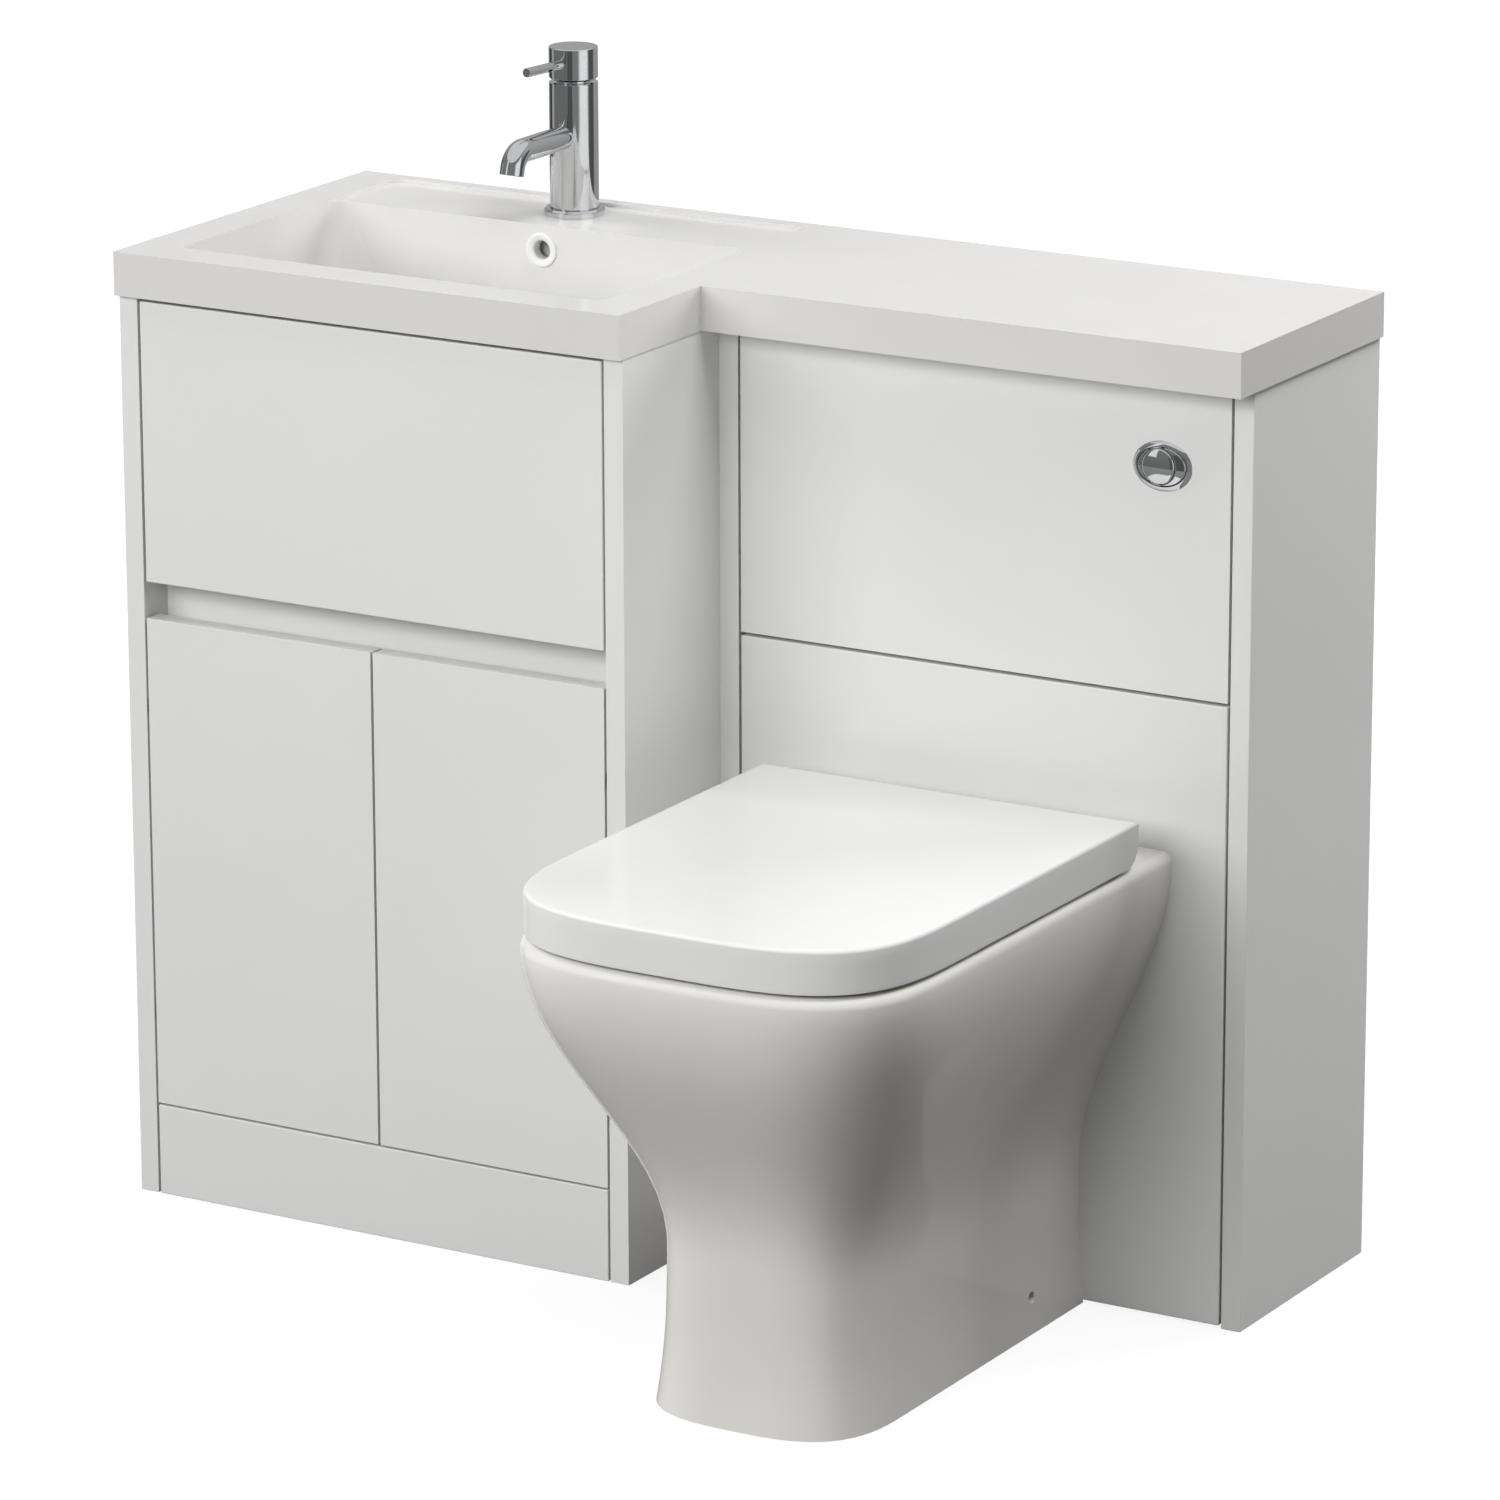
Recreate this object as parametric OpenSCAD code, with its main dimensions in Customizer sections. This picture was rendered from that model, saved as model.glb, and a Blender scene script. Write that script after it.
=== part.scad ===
// Toilet and basin combination unit: two cabinets under one worktop, with a tap, pan and cistern.
// X runs left to right, the front faces -Y and Z is up. The origin is on the floor, in the middle
// of the unit's width and depth.

/* [Worktop] */
// Width of the whole unit
top_w = 1000; // [960:5:1200]
// Width of the deep part that holds the basin
basin_w = 500; // [490:5:560]
// Depth of the basin part
basin_d = 390; // [385:1:430]
// Depth of the WC part
wc_top_d = 260; // [250:1:300]
// Thickness of the worktop
top_t = 38; // [30:1:45]
// Overhang of the worktop over the basin cabinet's front
basin_lip = 6; // [3:1:12]
// Overhang of the worktop over the WC cabinet's front
wc_lip = 31; // [15:1:40]
// Overhang of the worktop at the cabinets' sides
side_lip = 1; // [0:0.5:5]

/* [Basin bowl] */
// Rim left of and right of the bowl
bowl_side_rim = 40; // [36:1:60]
// Rim in front of the bowl
bowl_front_rim = 40; // [34:1:50]
// Rim behind the tap ledge
ledge_back_rim = 14; // [10:1:20]
// Depth of the tap ledge, from back to front
ledge_d = 93; // [85:1:105]
// Drop from the rim to the tap ledge
ledge_drop = 3; // [2:0.5:6]
// Depth of the bowl below the worktop's top
bowl_depth = 108; // [90:1:115]
// Wall of the bowl
bowl_wall = 10; // [8:0.5:11]
// Corner radius of the bowl at its rim
bowl_rim_r = 11; // [6:1:20]
// Corner radius of the bowl at its floor
bowl_floor_r = 45; // [30:1:70]
// Radius between the bowl's walls and its floor
bowl_fillet = 28; // [16:1:35]

/* [Cabinets] */
// Height of both cabinets
cab_h = 800; // [790:5:850]
// Thickness of the boards
board_t = 18; // [15:1:19]
// Gap round the doors, drawer and panels
front_gap = 2.2; // [1.5:0.1:3]
// Gap between the fronts and the worktop
top_gap = 4; // [3:0.5:6]
// Height of the plinth
plinth_h = 81; // [60:1:100]
// Height of the drawer front
drawer_front_h = 245; // [235:1:260]
// Height of the finger recess under the drawer front
recess_h = 32; // [25:1:40]
// Depth of the finger recess
recess_d = 34; // [28:1:50]
// Width of the rails and cleats
rail_w = 100; // [80:1:110]
// Height of the split between the WC panels
panel_split_z = 536; // [520:1:560]

/* [Drawer] */
// Thickness of the drawer's boards
drawer_t = 12; // [10:1:15]
// Thickness of the drawer's bottom
drawer_bottom_t = 6; // [4:1:8]
// Height of the drawer's sides
drawer_side_h = 108; // [90:1:115]
// Depth of the drawer's box
drawer_box_d = 266; // [240:1:290]
// Space at each side for a runner
runner_space = 13; // [12.5:0.1:15]
// Height of the fixed runner
runner_h = 45; // [35:1:50]
// Width of the slot in the drawer that passes round the trap
trap_slot_w = 130; // [110:1:160]

/* [Doors] */
// Distance from a door's end to its hinge
hinge_inset = 80; // [60:1:110]
// Distance from a door's edge to its hinge pin
hinge_in = 8.5; // [8:0.5:12]
// Distance from a door's face to its hinge pin
hinge_back = 6; // [5.5:0.1:6.2]
// Diameter of a hinge pin
door_pin_d = 4; // [3:0.5:4]

/* [Tap] */
// Diameter of the tap's body
tap_d = 42.5; // [38:0.5:46]
// Height of the tap's body
tap_body_h = 116; // [105:1:125]
// Height of the tap's head
tap_head_h = 28; // [22:1:34]
// Gap between the tap's body and its head
tap_neck_gap = 3; // [2.5:0.5:5]
// Diameter of the tap's base ring
tap_ring_d = 53; // [50:1:60]
// Height of the tap's base ring
tap_ring_h = 6.5; // [4:0.5:9]
// Distance from the wall to the tap
tap_back = 53; // [48:1:60]
// Diameter of the spout
spout_d = 21; // [18:0.5:24]
// Height of the spout above the ledge
spout_z = 70; // [60:1:78]
// Length of the spout before its bend
spout_run = 83.5; // [70:0.5:100]
// Angle of the spout's bend
spout_bend = 75; // [60:1:90]
// Diameter of the pin lever
lever_d = 8; // [6:0.5:10]
// Reach of the pin lever from the tap's axis
lever_reach = 76; // [60:1:90]

/* [Waste] */
// Diameter of the waste's flange
waste_flange_d = 62; // [58:1:66]
// Diameter of the waste's tube
waste_tube_d = 42; // [40:0.5:44]
// Diameter of the pipe to the wall
waste_pipe_d = 32; // [30:1:36]
// Height of the waste pipe's centre
waste_pipe_z = 634; // [620:1:640]
// Diameter of the trap's cup
trap_cup_d = 68; // [60:1:80]
// Diameter of the overflow ring
overflow_d = 30; // [26:1:34]
// Depth of the overflow ring's centre below the ledge
overflow_drop = 22; // [18:1:30]

/* [Pan] */
// Distance the pan stands out from the WC cabinet
pan_proj = 510; // [490:1:540]
// Height of the pan's rim
pan_h = 405; // [395:1:420]
// Width of the pan at its rim
pan_rim_w = 360; // [340:1:380]
// Width of the pan at its waist
pan_waist_w = 194; // [180:1:220]
// Flare of the foot at the floor, on each side
pan_foot_flare = 5; // [0:0.5:10]
// Distance from the rim's front back to the waist's front
pan_toe_back = 111; // [80:1:130]
// Flare of the toe at the floor
pan_toe_flare = 8; // [0:0.5:14]
// Wall of the pan
pan_wall = 13; // [10:0.5:15]
// Height of the soil outlet's centre
outlet_z = 180; // [175:1:190]
// Outside diameter of the soil outlet
outlet_d = 102; // [98:1:106]
// Height of the flush inlet's centre
inlet_z = 338; // [330:1:342]
// Diameter of the flush inlet
inlet_d = 55; // [50:1:58]

/* [Seat] */
// Distance that the pan's rim stands out past the lid at each side
lid_side_in = 3; // [2:0.5:8]
// Distance from the pan's front to the lid's front
lid_front_back = 3; // [2:0.5:10]
// Height of the lid's edge
lid_h = 36.5; // [34:0.5:40]
// Gap between the pan and the lid's edge
lid_gap = 3; // [2:0.5:5]
// Distance from the WC cabinet to the lid's back
lid_back = 54; // [45:1:60]
// Thickness of the lid's top
lid_top_t = 5.5; // [4:0.5:7]
// Thickness of the seat
seat_t = 20; // [16:0.5:22]
// Distance between the seat's hinges
hinge_spacing = 155; // [145:1:170]
// Diameter of the hinge pins
hinge_pin_d = 8; // [6:0.5:9]

/* [Cistern] */
// Gap between the tank and each side of the WC cabinet
tank_side_gap = 41; // [31:1:61]
// Depth of the tank
tank_d = 140; // [130:1:145]
// Height of the tank
tank_h = 256; // [240:1:260]
// Height of the tank's underside
tank_z = 500; // [490:1:505]
// Wall of the tank
tank_wall = 4; // [3:0.5:6]
// Outside diameter of the flush pipe
flush_pipe_d = 43; // [38:1:43]
// Distance from the tank's left end to the fill valve
fill_valve_in = 50; // [40:1:60]

/* [Flush plate] */
// Width of the oval bezel
bezel_w = 54; // [50:0.5:60]
// Height of the oval bezel
bezel_h = 42; // [38:0.5:48]
// Diameter of the round half-flush button
half_button_d = 30; // [24:0.5:32]
// Travel of the flush buttons
button_travel = 4; // [2:0.5:6]
// Height of the flush plate's centre
button_z = 728.5; // [715:0.5:740]
// Distance from the WC cabinet's right side to the flush plate's centre
button_from_side = 82; // [70:1:120]

/* [Hidden] */
$fn = 48;
slack = 0.3;            // clearance between pieces that move past each other
seat_fit = 0.05;        // radial clearance of a pin or a fitted tube
cut = 1;                // how far a cut runs past a face
white = [0.93, 0.93, 0.93];
cast_white = [0.95, 0.95, 0.94];
china = [0.90, 0.89, 0.87];
board_raw = [0.82, 0.82, 0.80];
steel = [0.62, 0.63, 0.65];
chrome_grey = [0.75, 0.76, 0.78];
plastic_white = [0.88, 0.88, 0.86];
plastic_grey = [0.55, 0.56, 0.58];
rubber_black = [0.15, 0.15, 0.16];

// Everything is placed from the left end, the wall and the floor: x to the right, y = 0 at the
// wall and negative to the front, z up. place() then moves it to the part's own origin.
wc_front_y = wc_lip - wc_top_d;
basin_front_y = basin_lip - basin_d;
unit_d = pan_proj - wc_front_y;
module place() translate([-top_w / 2, unit_d / 2, 0]) children();

// A board between two opposite corners.
module board(lo, hi) translate(lo) cube(hi - lo);
// Cylinders along each axis, from a point.
module rod_x(p, r, h) translate(p) rotate([0, 90, 0]) cylinder(r = r, h = h);
module rod_y(p, r, h) translate(p) rotate([-90, 0, 0]) cylinder(r = r, h = h);
module rod_z(p, r, h) translate(p) cylinder(r = r, h = h);
module tube_z(p, ro, ri, h) difference() {
  rod_z(p, ro, h);
  rod_z(p - [0, 0, cut], ri, h + 2 * cut);
}

// ---- Cabinets -------------------------------------------------------------------------------
cab1_x0 = side_lip;
cab1_x1 = basin_w - side_lip;
cab2_x0 = cab1_x1;
cab2_x1 = top_w - 3 * side_lip;
in1_x0 = cab1_x0 + board_t;
in1_x1 = cab1_x1 - board_t;
in2_x0 = cab2_x0 + board_t;
in2_x1 = cab2_x1 - board_t;
fronts_x0 = in1_x0 + front_gap;
fronts_x1 = in1_x1 - front_gap;
fronts_mid = (fronts_x0 + fronts_x1) / 2;
fronts_back_y = basin_front_y + board_t;
drawer_front_z0 = cab_h - top_gap - drawer_front_h;
door_z1 = drawer_front_z0 - recess_h;
door_z0 = plinth_h + front_gap;
bottom_z1 = plinth_h + board_t + 1;
closed_gap = 3.2;       // between a closed door's back and the carcass
rail_cover = 14;        // the handle rail reaches this far up behind the drawer front
rail_drop = 39;         // and this far down behind the doors
rail_top = drawer_front_z0 + rail_cover;
rail_bottom = door_z1 - rail_drop;
shelf_z = 300;
shelf_d = 200;
shelf_front_y = basin_front_y + 56;
shelf_pin_d = 5;
shelf_pin_l = 20;
shelf_pin_in = 10;
bolt_d = 6;
bolt_zs = [cab_h - 60, 400, 60];
bolt_y = wc_front_y + 30;
basin_x = basin_w / 2;
wc_x = (cab2_x0 + cab2_x1) / 2;
wall_hole_d = 7;
basin_hole_in = 51;      // distance from a side's inner face to a wall fixing, in the basin cabinet
wc_hole_in = 16;        // and in the WC cabinet
upper_rail_z = cab_h - 10 - rail_w;
wc_rail_z = 620;
wc_low_rail_z = 5;
soil_hole_d = outlet_d + 24;
flush_hole_d = flush_pipe_d + 19;
clip_d = 12;
clip_l = 15;
stud_d = 6;
stud_in = 7;
mid_rail_h = 72;
mid_rail_z = panel_split_z - mid_rail_h / 2;
top_rail_h = 38;
panel_x0 = in2_x0 + front_gap;
panel_x1 = in2_x1 - front_gap;
panel_gap = 3;
panel_back_y = wc_front_y + board_t;
rail_back_y = panel_back_y + board_t;
clip_xs = [panel_x0 + 40, panel_x1 - 40];
clip_zs = [mid_rail_z + mid_rail_h - 14, cab_h - top_rail_h / 2];

module side_panel(x, front_y) board([x, front_y, 0], [x + board_t, 0, cab_h]);

// Blind holes for the shelf pins, or the pins themselves, on both sides.
module shelf_pin_row(x, r, l) {
  for (y = [shelf_front_y + 30, shelf_front_y + shelf_d - 30])
    rod_x([x, y, shelf_z - shelf_pin_d / 2], r, l);
}

module basin_side_left() color(white) place() difference() {
  side_panel(cab1_x0, basin_front_y);
  shelf_pin_row(in1_x0 - shelf_pin_in, shelf_pin_d / 2, shelf_pin_in + cut);
}
module basin_side_right() color(white) place() difference() {
  side_panel(in1_x1, basin_front_y);
  shelf_pin_row(in1_x1 - cut, shelf_pin_d / 2, shelf_pin_in + cut);
  bolt_holes();
}
module bolt_holes() {
  for (z = bolt_zs) rod_x([in1_x1 - cut, bolt_y, z], bolt_d / 2, 2 * board_t + 2 * cut);
}
module basin_bottom_panel() color(board_raw) place()
  board([in1_x0, fronts_back_y + closed_gap, bottom_z1 - board_t], [in1_x1, 0, bottom_z1]);
module back_rail(x0, x1, z, hole_in) difference() {
  board([x0, -board_t, z], [x1, 0, z + rail_w]);
  for (x = [x0 + hole_in, x1 - hole_in])
    rod_y([x, -board_t - cut, z + rail_w / 2], wall_hole_d / 2, board_t + 2 * cut);
}
module basin_back_rails() color(board_raw) place() {
  back_rail(in1_x0, in1_x1, upper_rail_z, basin_hole_in);
  board([in1_x0, -board_t, bottom_z1], [in1_x1, 0, bottom_z1 + rail_w]);
}
module handle_rail() color(white) place()
  board([in1_x0, basin_front_y + recess_d, rail_bottom],
        [in1_x1, basin_front_y + recess_d + board_t, rail_top]);
module basin_plinth() color(white) place()
  board([fronts_x0, basin_front_y, 0], [fronts_x1, fronts_back_y, plinth_h]);
module plinth_brackets() color(plastic_white) place() {
  size = 30;
  tall = 50;
  for (x = [in1_x0, in1_x1 - size]) difference() {
    board([x, fronts_back_y, 10], [x + size, fronts_back_y + size, 10 + tall]);
    board([x + (x < basin_x ? 3 : -cut), fronts_back_y + 3, 10 - cut],
          [x + size + (x < basin_x ? cut : -3), fronts_back_y + size + cut, 10 + tall - 3]);
  }
}
module shelf() color(white) place()
  board([in1_x0 + 0.5, shelf_front_y, shelf_z], [in1_x1 - 0.5, shelf_front_y + shelf_d, shelf_z + board_t]);
module shelf_pins() color(steel) place() {
  shelf_pin_row(in1_x0 - shelf_pin_in, shelf_pin_d / 2 - seat_fit / 2, shelf_pin_l);
  shelf_pin_row(in1_x1 + shelf_pin_in - shelf_pin_l, shelf_pin_d / 2 - seat_fit / 2, shelf_pin_l);
}
module cabinet_bolts() color(steel) place() for (z = bolt_zs) {
  rod_x([in1_x1, bolt_y, z], bolt_d / 2 - seat_fit / 2, 2 * board_t);
  rod_x([in1_x1 - 3, bolt_y, z], bolt_d, 3);
  rod_x([in1_x1 + 2 * board_t, bolt_y, z], bolt_d, 3);
}
module wc_side_left() color(white) place() difference() {
  side_panel(cab2_x0, wc_front_y);
  bolt_holes();
}
module wc_side_right() color(white) place() side_panel(in2_x1, wc_front_y);
module wc_access_panel() color(white) place() difference() {
  board([panel_x0, wc_front_y, panel_split_z + panel_gap / 2], [panel_x1, panel_back_y, cab_h - panel_gap]);
  for (x = clip_xs, z = clip_zs) rod_y([x, panel_back_y - stud_in, z], stud_d / 2, stud_in + cut);
  button_place(-cut) oval(barrel_w, barrel_h, board_t + 2 * cut);
}
module wc_lower_panel() color(white) place() difference() {
  board([panel_x0, wc_front_y, front_gap], [panel_x1, panel_back_y, panel_split_z - panel_gap / 2]);
  rod_y([wc_x, wc_front_y - cut, outlet_z], soil_hole_d / 2, board_t + 2 * cut);
  rod_y([wc_x, wc_front_y - cut, inlet_z], flush_hole_d / 2, board_t + 2 * cut);
}
module wc_front_rails() color(board_raw) place() difference() {
  union() {
    board([in2_x0, panel_back_y, mid_rail_z], [in2_x1, rail_back_y, mid_rail_z + mid_rail_h]);
    board([in2_x0, panel_back_y, cab_h - top_rail_h], [in2_x1, rail_back_y, cab_h]);
  }
  for (x = clip_xs, z = clip_zs) rod_y([x, panel_back_y - cut, z], clip_d / 2, clip_l + cut);
}
module wc_back_rails() color(board_raw) place() {
  back_rail(in2_x0, in2_x1, wc_rail_z, wc_hole_in);
  board([in2_x0, -board_t, wc_low_rail_z], [in2_x1, 0, wc_low_rail_z + rail_w]);
}
// Push-fit clips: a socket in the rail and a stud in the panel, for each corner.
module panel_clips() color(plastic_white) place() for (x = clip_xs, z = clip_zs) {
  difference() {
    rod_y([x, panel_back_y, z], clip_d / 2 - seat_fit, clip_l);
    rod_y([x, panel_back_y - cut, z], stud_d / 2, clip_l - 2);
  }
  rod_y([x, panel_back_y - stud_in, z], stud_d / 2 - seat_fit, stud_in + clip_l - 5);
}

// ---- Doors ----------------------------------------------------------------------------------
door_x1 = fronts_mid - (front_gap + slack) / 2;
hinge_zs = [door_z0 + hinge_inset, door_z1 - hinge_inset];
door_pin_x = fronts_x0 + hinge_in;
door_pin_y = basin_front_y + hinge_back;
door_pin_l = 30;
knuckle_r = door_pin_d / 2 + 1.6;
knuckle_h = 13;
arm_end_y = fronts_back_y + 26;
plate_t = 2;
plate_h = 48;
plate_l = 46;

module to_right() translate([2 * fronts_mid, 0, 0]) mirror([1, 0, 0]) children();
// A door on the left, with a slot for each hinge arm and a bore for each pin.
module door() difference() {
  board([fronts_x0, basin_front_y, door_z0], [door_x1, fronts_back_y, door_z1]);
  for (z = hinge_zs) {
    board([fronts_x0 - cut, door_pin_y - knuckle_r - 0.4, z - knuckle_h / 2 - 0.5],
          [door_pin_x + knuckle_r + 0.5, fronts_back_y + cut, z + knuckle_h / 2 + 0.5]);
    rod_z([door_pin_x, door_pin_y, z - door_pin_l / 2], door_pin_d / 2 + seat_fit, door_pin_l);
  }
}
module hinge_pins() for (z = hinge_zs)
  rod_z([door_pin_x, door_pin_y, z - door_pin_l / 2], door_pin_d / 2, door_pin_l);
// A plate on the side panel, and an arm that reaches into the door and round its pin.
module hinge_arm(z) difference() {
  union() {
    board([in1_x0, arm_end_y - 12, z - plate_h / 2], [in1_x0 + plate_t, arm_end_y - 12 + plate_l, z + plate_h / 2]);
    board([in1_x0, arm_end_y - 12, z - knuckle_h / 2], [door_pin_x + 2.5, arm_end_y, z + knuckle_h / 2]);
    board([door_pin_x - 2.5, door_pin_y, z - knuckle_h / 2], [door_pin_x + 2.5, arm_end_y, z + knuckle_h / 2]);
    rod_z([door_pin_x, door_pin_y, z - knuckle_h / 2], knuckle_r, knuckle_h);
  }
  rod_z([door_pin_x, door_pin_y, z - knuckle_h / 2 - cut], door_pin_d / 2 + seat_fit, knuckle_h + 2 * cut);
}
module door_left() color(white) place() door();
module door_right() color(white) place() to_right() door();
module hinge_pins_left() color(steel) place() hinge_pins();
module hinge_pins_right() color(steel) place() to_right() hinge_pins();
module hinge_arms() color(steel) place() for (z = hinge_zs) {
  hinge_arm(z);
  to_right() hinge_arm(z);
}

// ---- Drawer ---------------------------------------------------------------------------------
box_x0 = in1_x0 + runner_space;
box_x1 = in1_x1 - runner_space;
box_y1 = fronts_back_y + drawer_box_d;
box_z0 = rail_top + 3;
box_z1 = box_z0 + drawer_side_h;
floor_z0 = box_z0 + 6;
floor_z1 = floor_z0 + drawer_bottom_t;
slot_x0 = basin_x - trap_slot_w / 2;
slot_x1 = basin_x + trap_slot_w / 2;
runner_z = (box_z0 + box_z1) / 2;
runner_wall = 1.5;

module drawer_front() color(white) place()
  board([fronts_x0, basin_front_y, drawer_front_z0], [fronts_x1, fronts_back_y, cab_h - top_gap]);
module drawer_sides() color(white) place() for (x = [box_x0, box_x1 - drawer_t])
  board([x, fronts_back_y, box_z0], [x + drawer_t, box_y1, box_z1]);
module drawer_bottom() color(white) place() difference() {
  board([box_x0 + drawer_t, fronts_back_y, floor_z0], [box_x1 - drawer_t, box_y1, floor_z1]);
  board([slot_x0, slot_y, floor_z0 - cut], [slot_x1, box_y1 + cut, floor_z1 + cut]);
}
// The back in two halves and the three boards round the trap.
module drawer_back_wall() color(white) place() {
  board([box_x0 + drawer_t, box_y1 - drawer_t, floor_z1], [slot_x0 - drawer_t, box_y1, box_z1]);
  board([slot_x1 + drawer_t, box_y1 - drawer_t, floor_z1], [box_x1 - drawer_t, box_y1, box_z1]);
  board([slot_x0 - drawer_t, slot_y, floor_z1], [slot_x0, box_y1, box_z1]);
  board([slot_x1, slot_y, floor_z1], [slot_x1 + drawer_t, box_y1, box_z1]);
  board([slot_x0 - drawer_t, slot_y - drawer_t, floor_z1], [slot_x1 + drawer_t, slot_y, box_z1]);
}
// A C-shaped channel on each side panel, open towards the drawer.
module runners_fixed() color(steel) place() for (side = [0, 1])
  translate([side == 0 ? in1_x0 : in1_x1, 0, 0]) mirror([side, 0, 0]) difference() {
    board([0, fronts_back_y + 8, runner_z - runner_h / 2],
          [runner_space - 2.5, box_y1 + 8, runner_z + runner_h / 2]);
    board([runner_wall, fronts_back_y + 8 - cut, runner_z - runner_h / 2 + runner_wall],
          [runner_space, box_y1 + 8 + cut, runner_z + runner_h / 2 - runner_wall]);
  }
// The bar on each drawer side that runs in the channel.
module runners_moving() color(steel) place() for (side = [0, 1])
  translate([side == 0 ? in1_x0 : in1_x1, 0, 0]) mirror([side, 0, 0])
    board([runner_wall + slack, fronts_back_y, runner_z - runner_h / 2 + runner_wall + slack],
          [runner_space, box_y1, runner_z + runner_h / 2 - runner_wall - slack]);

// ---- Worktop and basin ----------------------------------------------------------------------
top_z = cab_h + top_t;
ledge_z = top_z - ledge_drop;
bowl_x0 = bowl_side_rim;
bowl_x1 = basin_w - bowl_side_rim;
bowl_y0 = bowl_front_rim - basin_d;
bowl_y1 = -ledge_back_rim - ledge_d;
bowl_z = top_z - bowl_depth;
waste_y = (bowl_y0 + bowl_y1) / 2;
slot_y = waste_y - 55;
tap_hole_d = 35;
waste_hole_d = waste_tube_d + 4;
overflow_hole_d = overflow_d - 10;
overflow_z = ledge_z - overflow_drop;
duct_w = 28;
duct_t = 8;
duct_wall = 4;

// A ring of points round a rectangle with rounded corners, at one height.
corner_steps = 6;
function rounded_ring(x0, x1, y0, y1, r, z) = [
  for (c = [[x1 - r, y1 - r, 0], [x0 + r, y1 - r, 90], [x0 + r, y0 + r, 180], [x1 - r, y0 + r, 270]])
    for (i = [0:corner_steps])
      let (a = c[2] + 90 * i / corner_steps) [c[0] + r * cos(a), c[1] + r * sin(a), z]
];
// A closed solid through rings of equal length, the lowest ring first.
module loft(rings) {
  n = len(rings[0]);
  m = len(rings);
  points = [for (ring = rings) for (p = ring) p];
  sides = [for (k = [0:m - 2]) for (i = [0:n - 1])
    let (a = k * n + i, b = k * n + (i + 1) % n, c = a + n, d = b + n)
    for (t = [[a, c, b], [b, c, d]]) t];
  polyhedron(points, concat([[for (i = [0:n - 1]) i]], sides, [[for (i = [n - 1:-1:0]) (m - 1) * n + i]]));
}
fillet_steps = 5;
// The bowl's rings from its floor up: a fillet, then walls whose corners tighten towards the rim.
function bowl_rings(out, top) = let (
    r = bowl_fillet + out, zf = bowl_z - out, wall_top = top - zf - r)
  concat(
    [for (i = [0:fillet_steps]) let (a = 90 * i / fillet_steps, d = r * (1 - sin(a)))
      rounded_ring(bowl_x0 - out + d, bowl_x1 + out - d, bowl_y0 - out + d, bowl_y1 + out - d,
                   max(bowl_floor_r + out - d, 2), zf + r * (1 - cos(a)))],
    [for (i = [1:3]) let (t = i / 3)
      rounded_ring(bowl_x0 - out, bowl_x1 + out, bowl_y0 - out, bowl_y1 + out,
                   (bowl_floor_r * (1 - t) + bowl_rim_r * t) + out, zf + r + wall_top * t)]);

module worktop_basin() color(cast_white) place() difference() {
  union() {
    translate([0, 0, cab_h]) linear_extrude(top_t)
      polygon([[0, 0], [0, -basin_d], [basin_w, -basin_d], [basin_w, -wc_top_d], [top_w, -wc_top_d], [top_w, 0]]);
    loft(bowl_rings(bowl_wall, cab_h + top_t / 2));
    board([basin_x - duct_w / 2 - duct_wall, bowl_y1 + bowl_wall / 2, bowl_z - bowl_wall],
          [basin_x + duct_w / 2 + duct_wall, bowl_y1 + bowl_wall + duct_t + duct_wall, cab_h + 2]);
  }
  // tap ledge
  translate([0, 0, ledge_z]) linear_extrude(top_t)
    translate([bowl_x0 + bowl_rim_r, bowl_y0 + bowl_rim_r]) offset_rect(
      bowl_x1 - bowl_x0 - 2 * bowl_rim_r, -ledge_back_rim - bowl_y0 - 2 * bowl_rim_r, bowl_rim_r);
  // bowl
  loft(bowl_rings(0, top_z + cut));
  // tap, waste and overflow
  rod_z([basin_x, -tap_back, cab_h - cut], tap_hole_d / 2, top_t + 2 * cut);
  rod_z([basin_x, waste_y, bowl_z - bowl_wall - cut], waste_hole_d / 2, bowl_wall + 2 * cut);
  rod_y([basin_x, bowl_y1 - cut, overflow_z], overflow_hole_d / 2, bowl_wall + duct_t + cut);
  board([basin_x - duct_w / 2, bowl_y1 + bowl_wall, bowl_z - bowl_wall + duct_wall],
        [basin_x + duct_w / 2, bowl_y1 + bowl_wall + duct_t, overflow_z + overflow_hole_d / 2]);
  board([basin_x - duct_w / 4, waste_y, bowl_z - bowl_wall + duct_wall],
        [basin_x + duct_w / 4, bowl_y1 + bowl_wall + duct_t, bowl_z - 2]);
}
// A rectangle with true round corners, made of its discs and bars.
module offset_rect(w, d, r) {
  for (x = [0, w], y = [0, d]) translate([x, y]) circle(r = r);
  translate([-r, 0]) square([w + 2 * r, d]);
  translate([0, -r]) square([w, d + 2 * r]);
}
module overflow_ring() color(plastic_white) place() difference() {
  union() {
    rod_y([basin_x, bowl_y1 - 2.5, overflow_z], overflow_d / 2, 2.5);
    rod_y([basin_x, bowl_y1 - 1, overflow_z], overflow_hole_d / 2 - seat_fit, bowl_wall);
  }
  rod_y([basin_x, bowl_y1 - 2.5 - cut, overflow_z], overflow_hole_d / 2 - 2, bowl_wall + 3 + 2 * cut);
}

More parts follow.
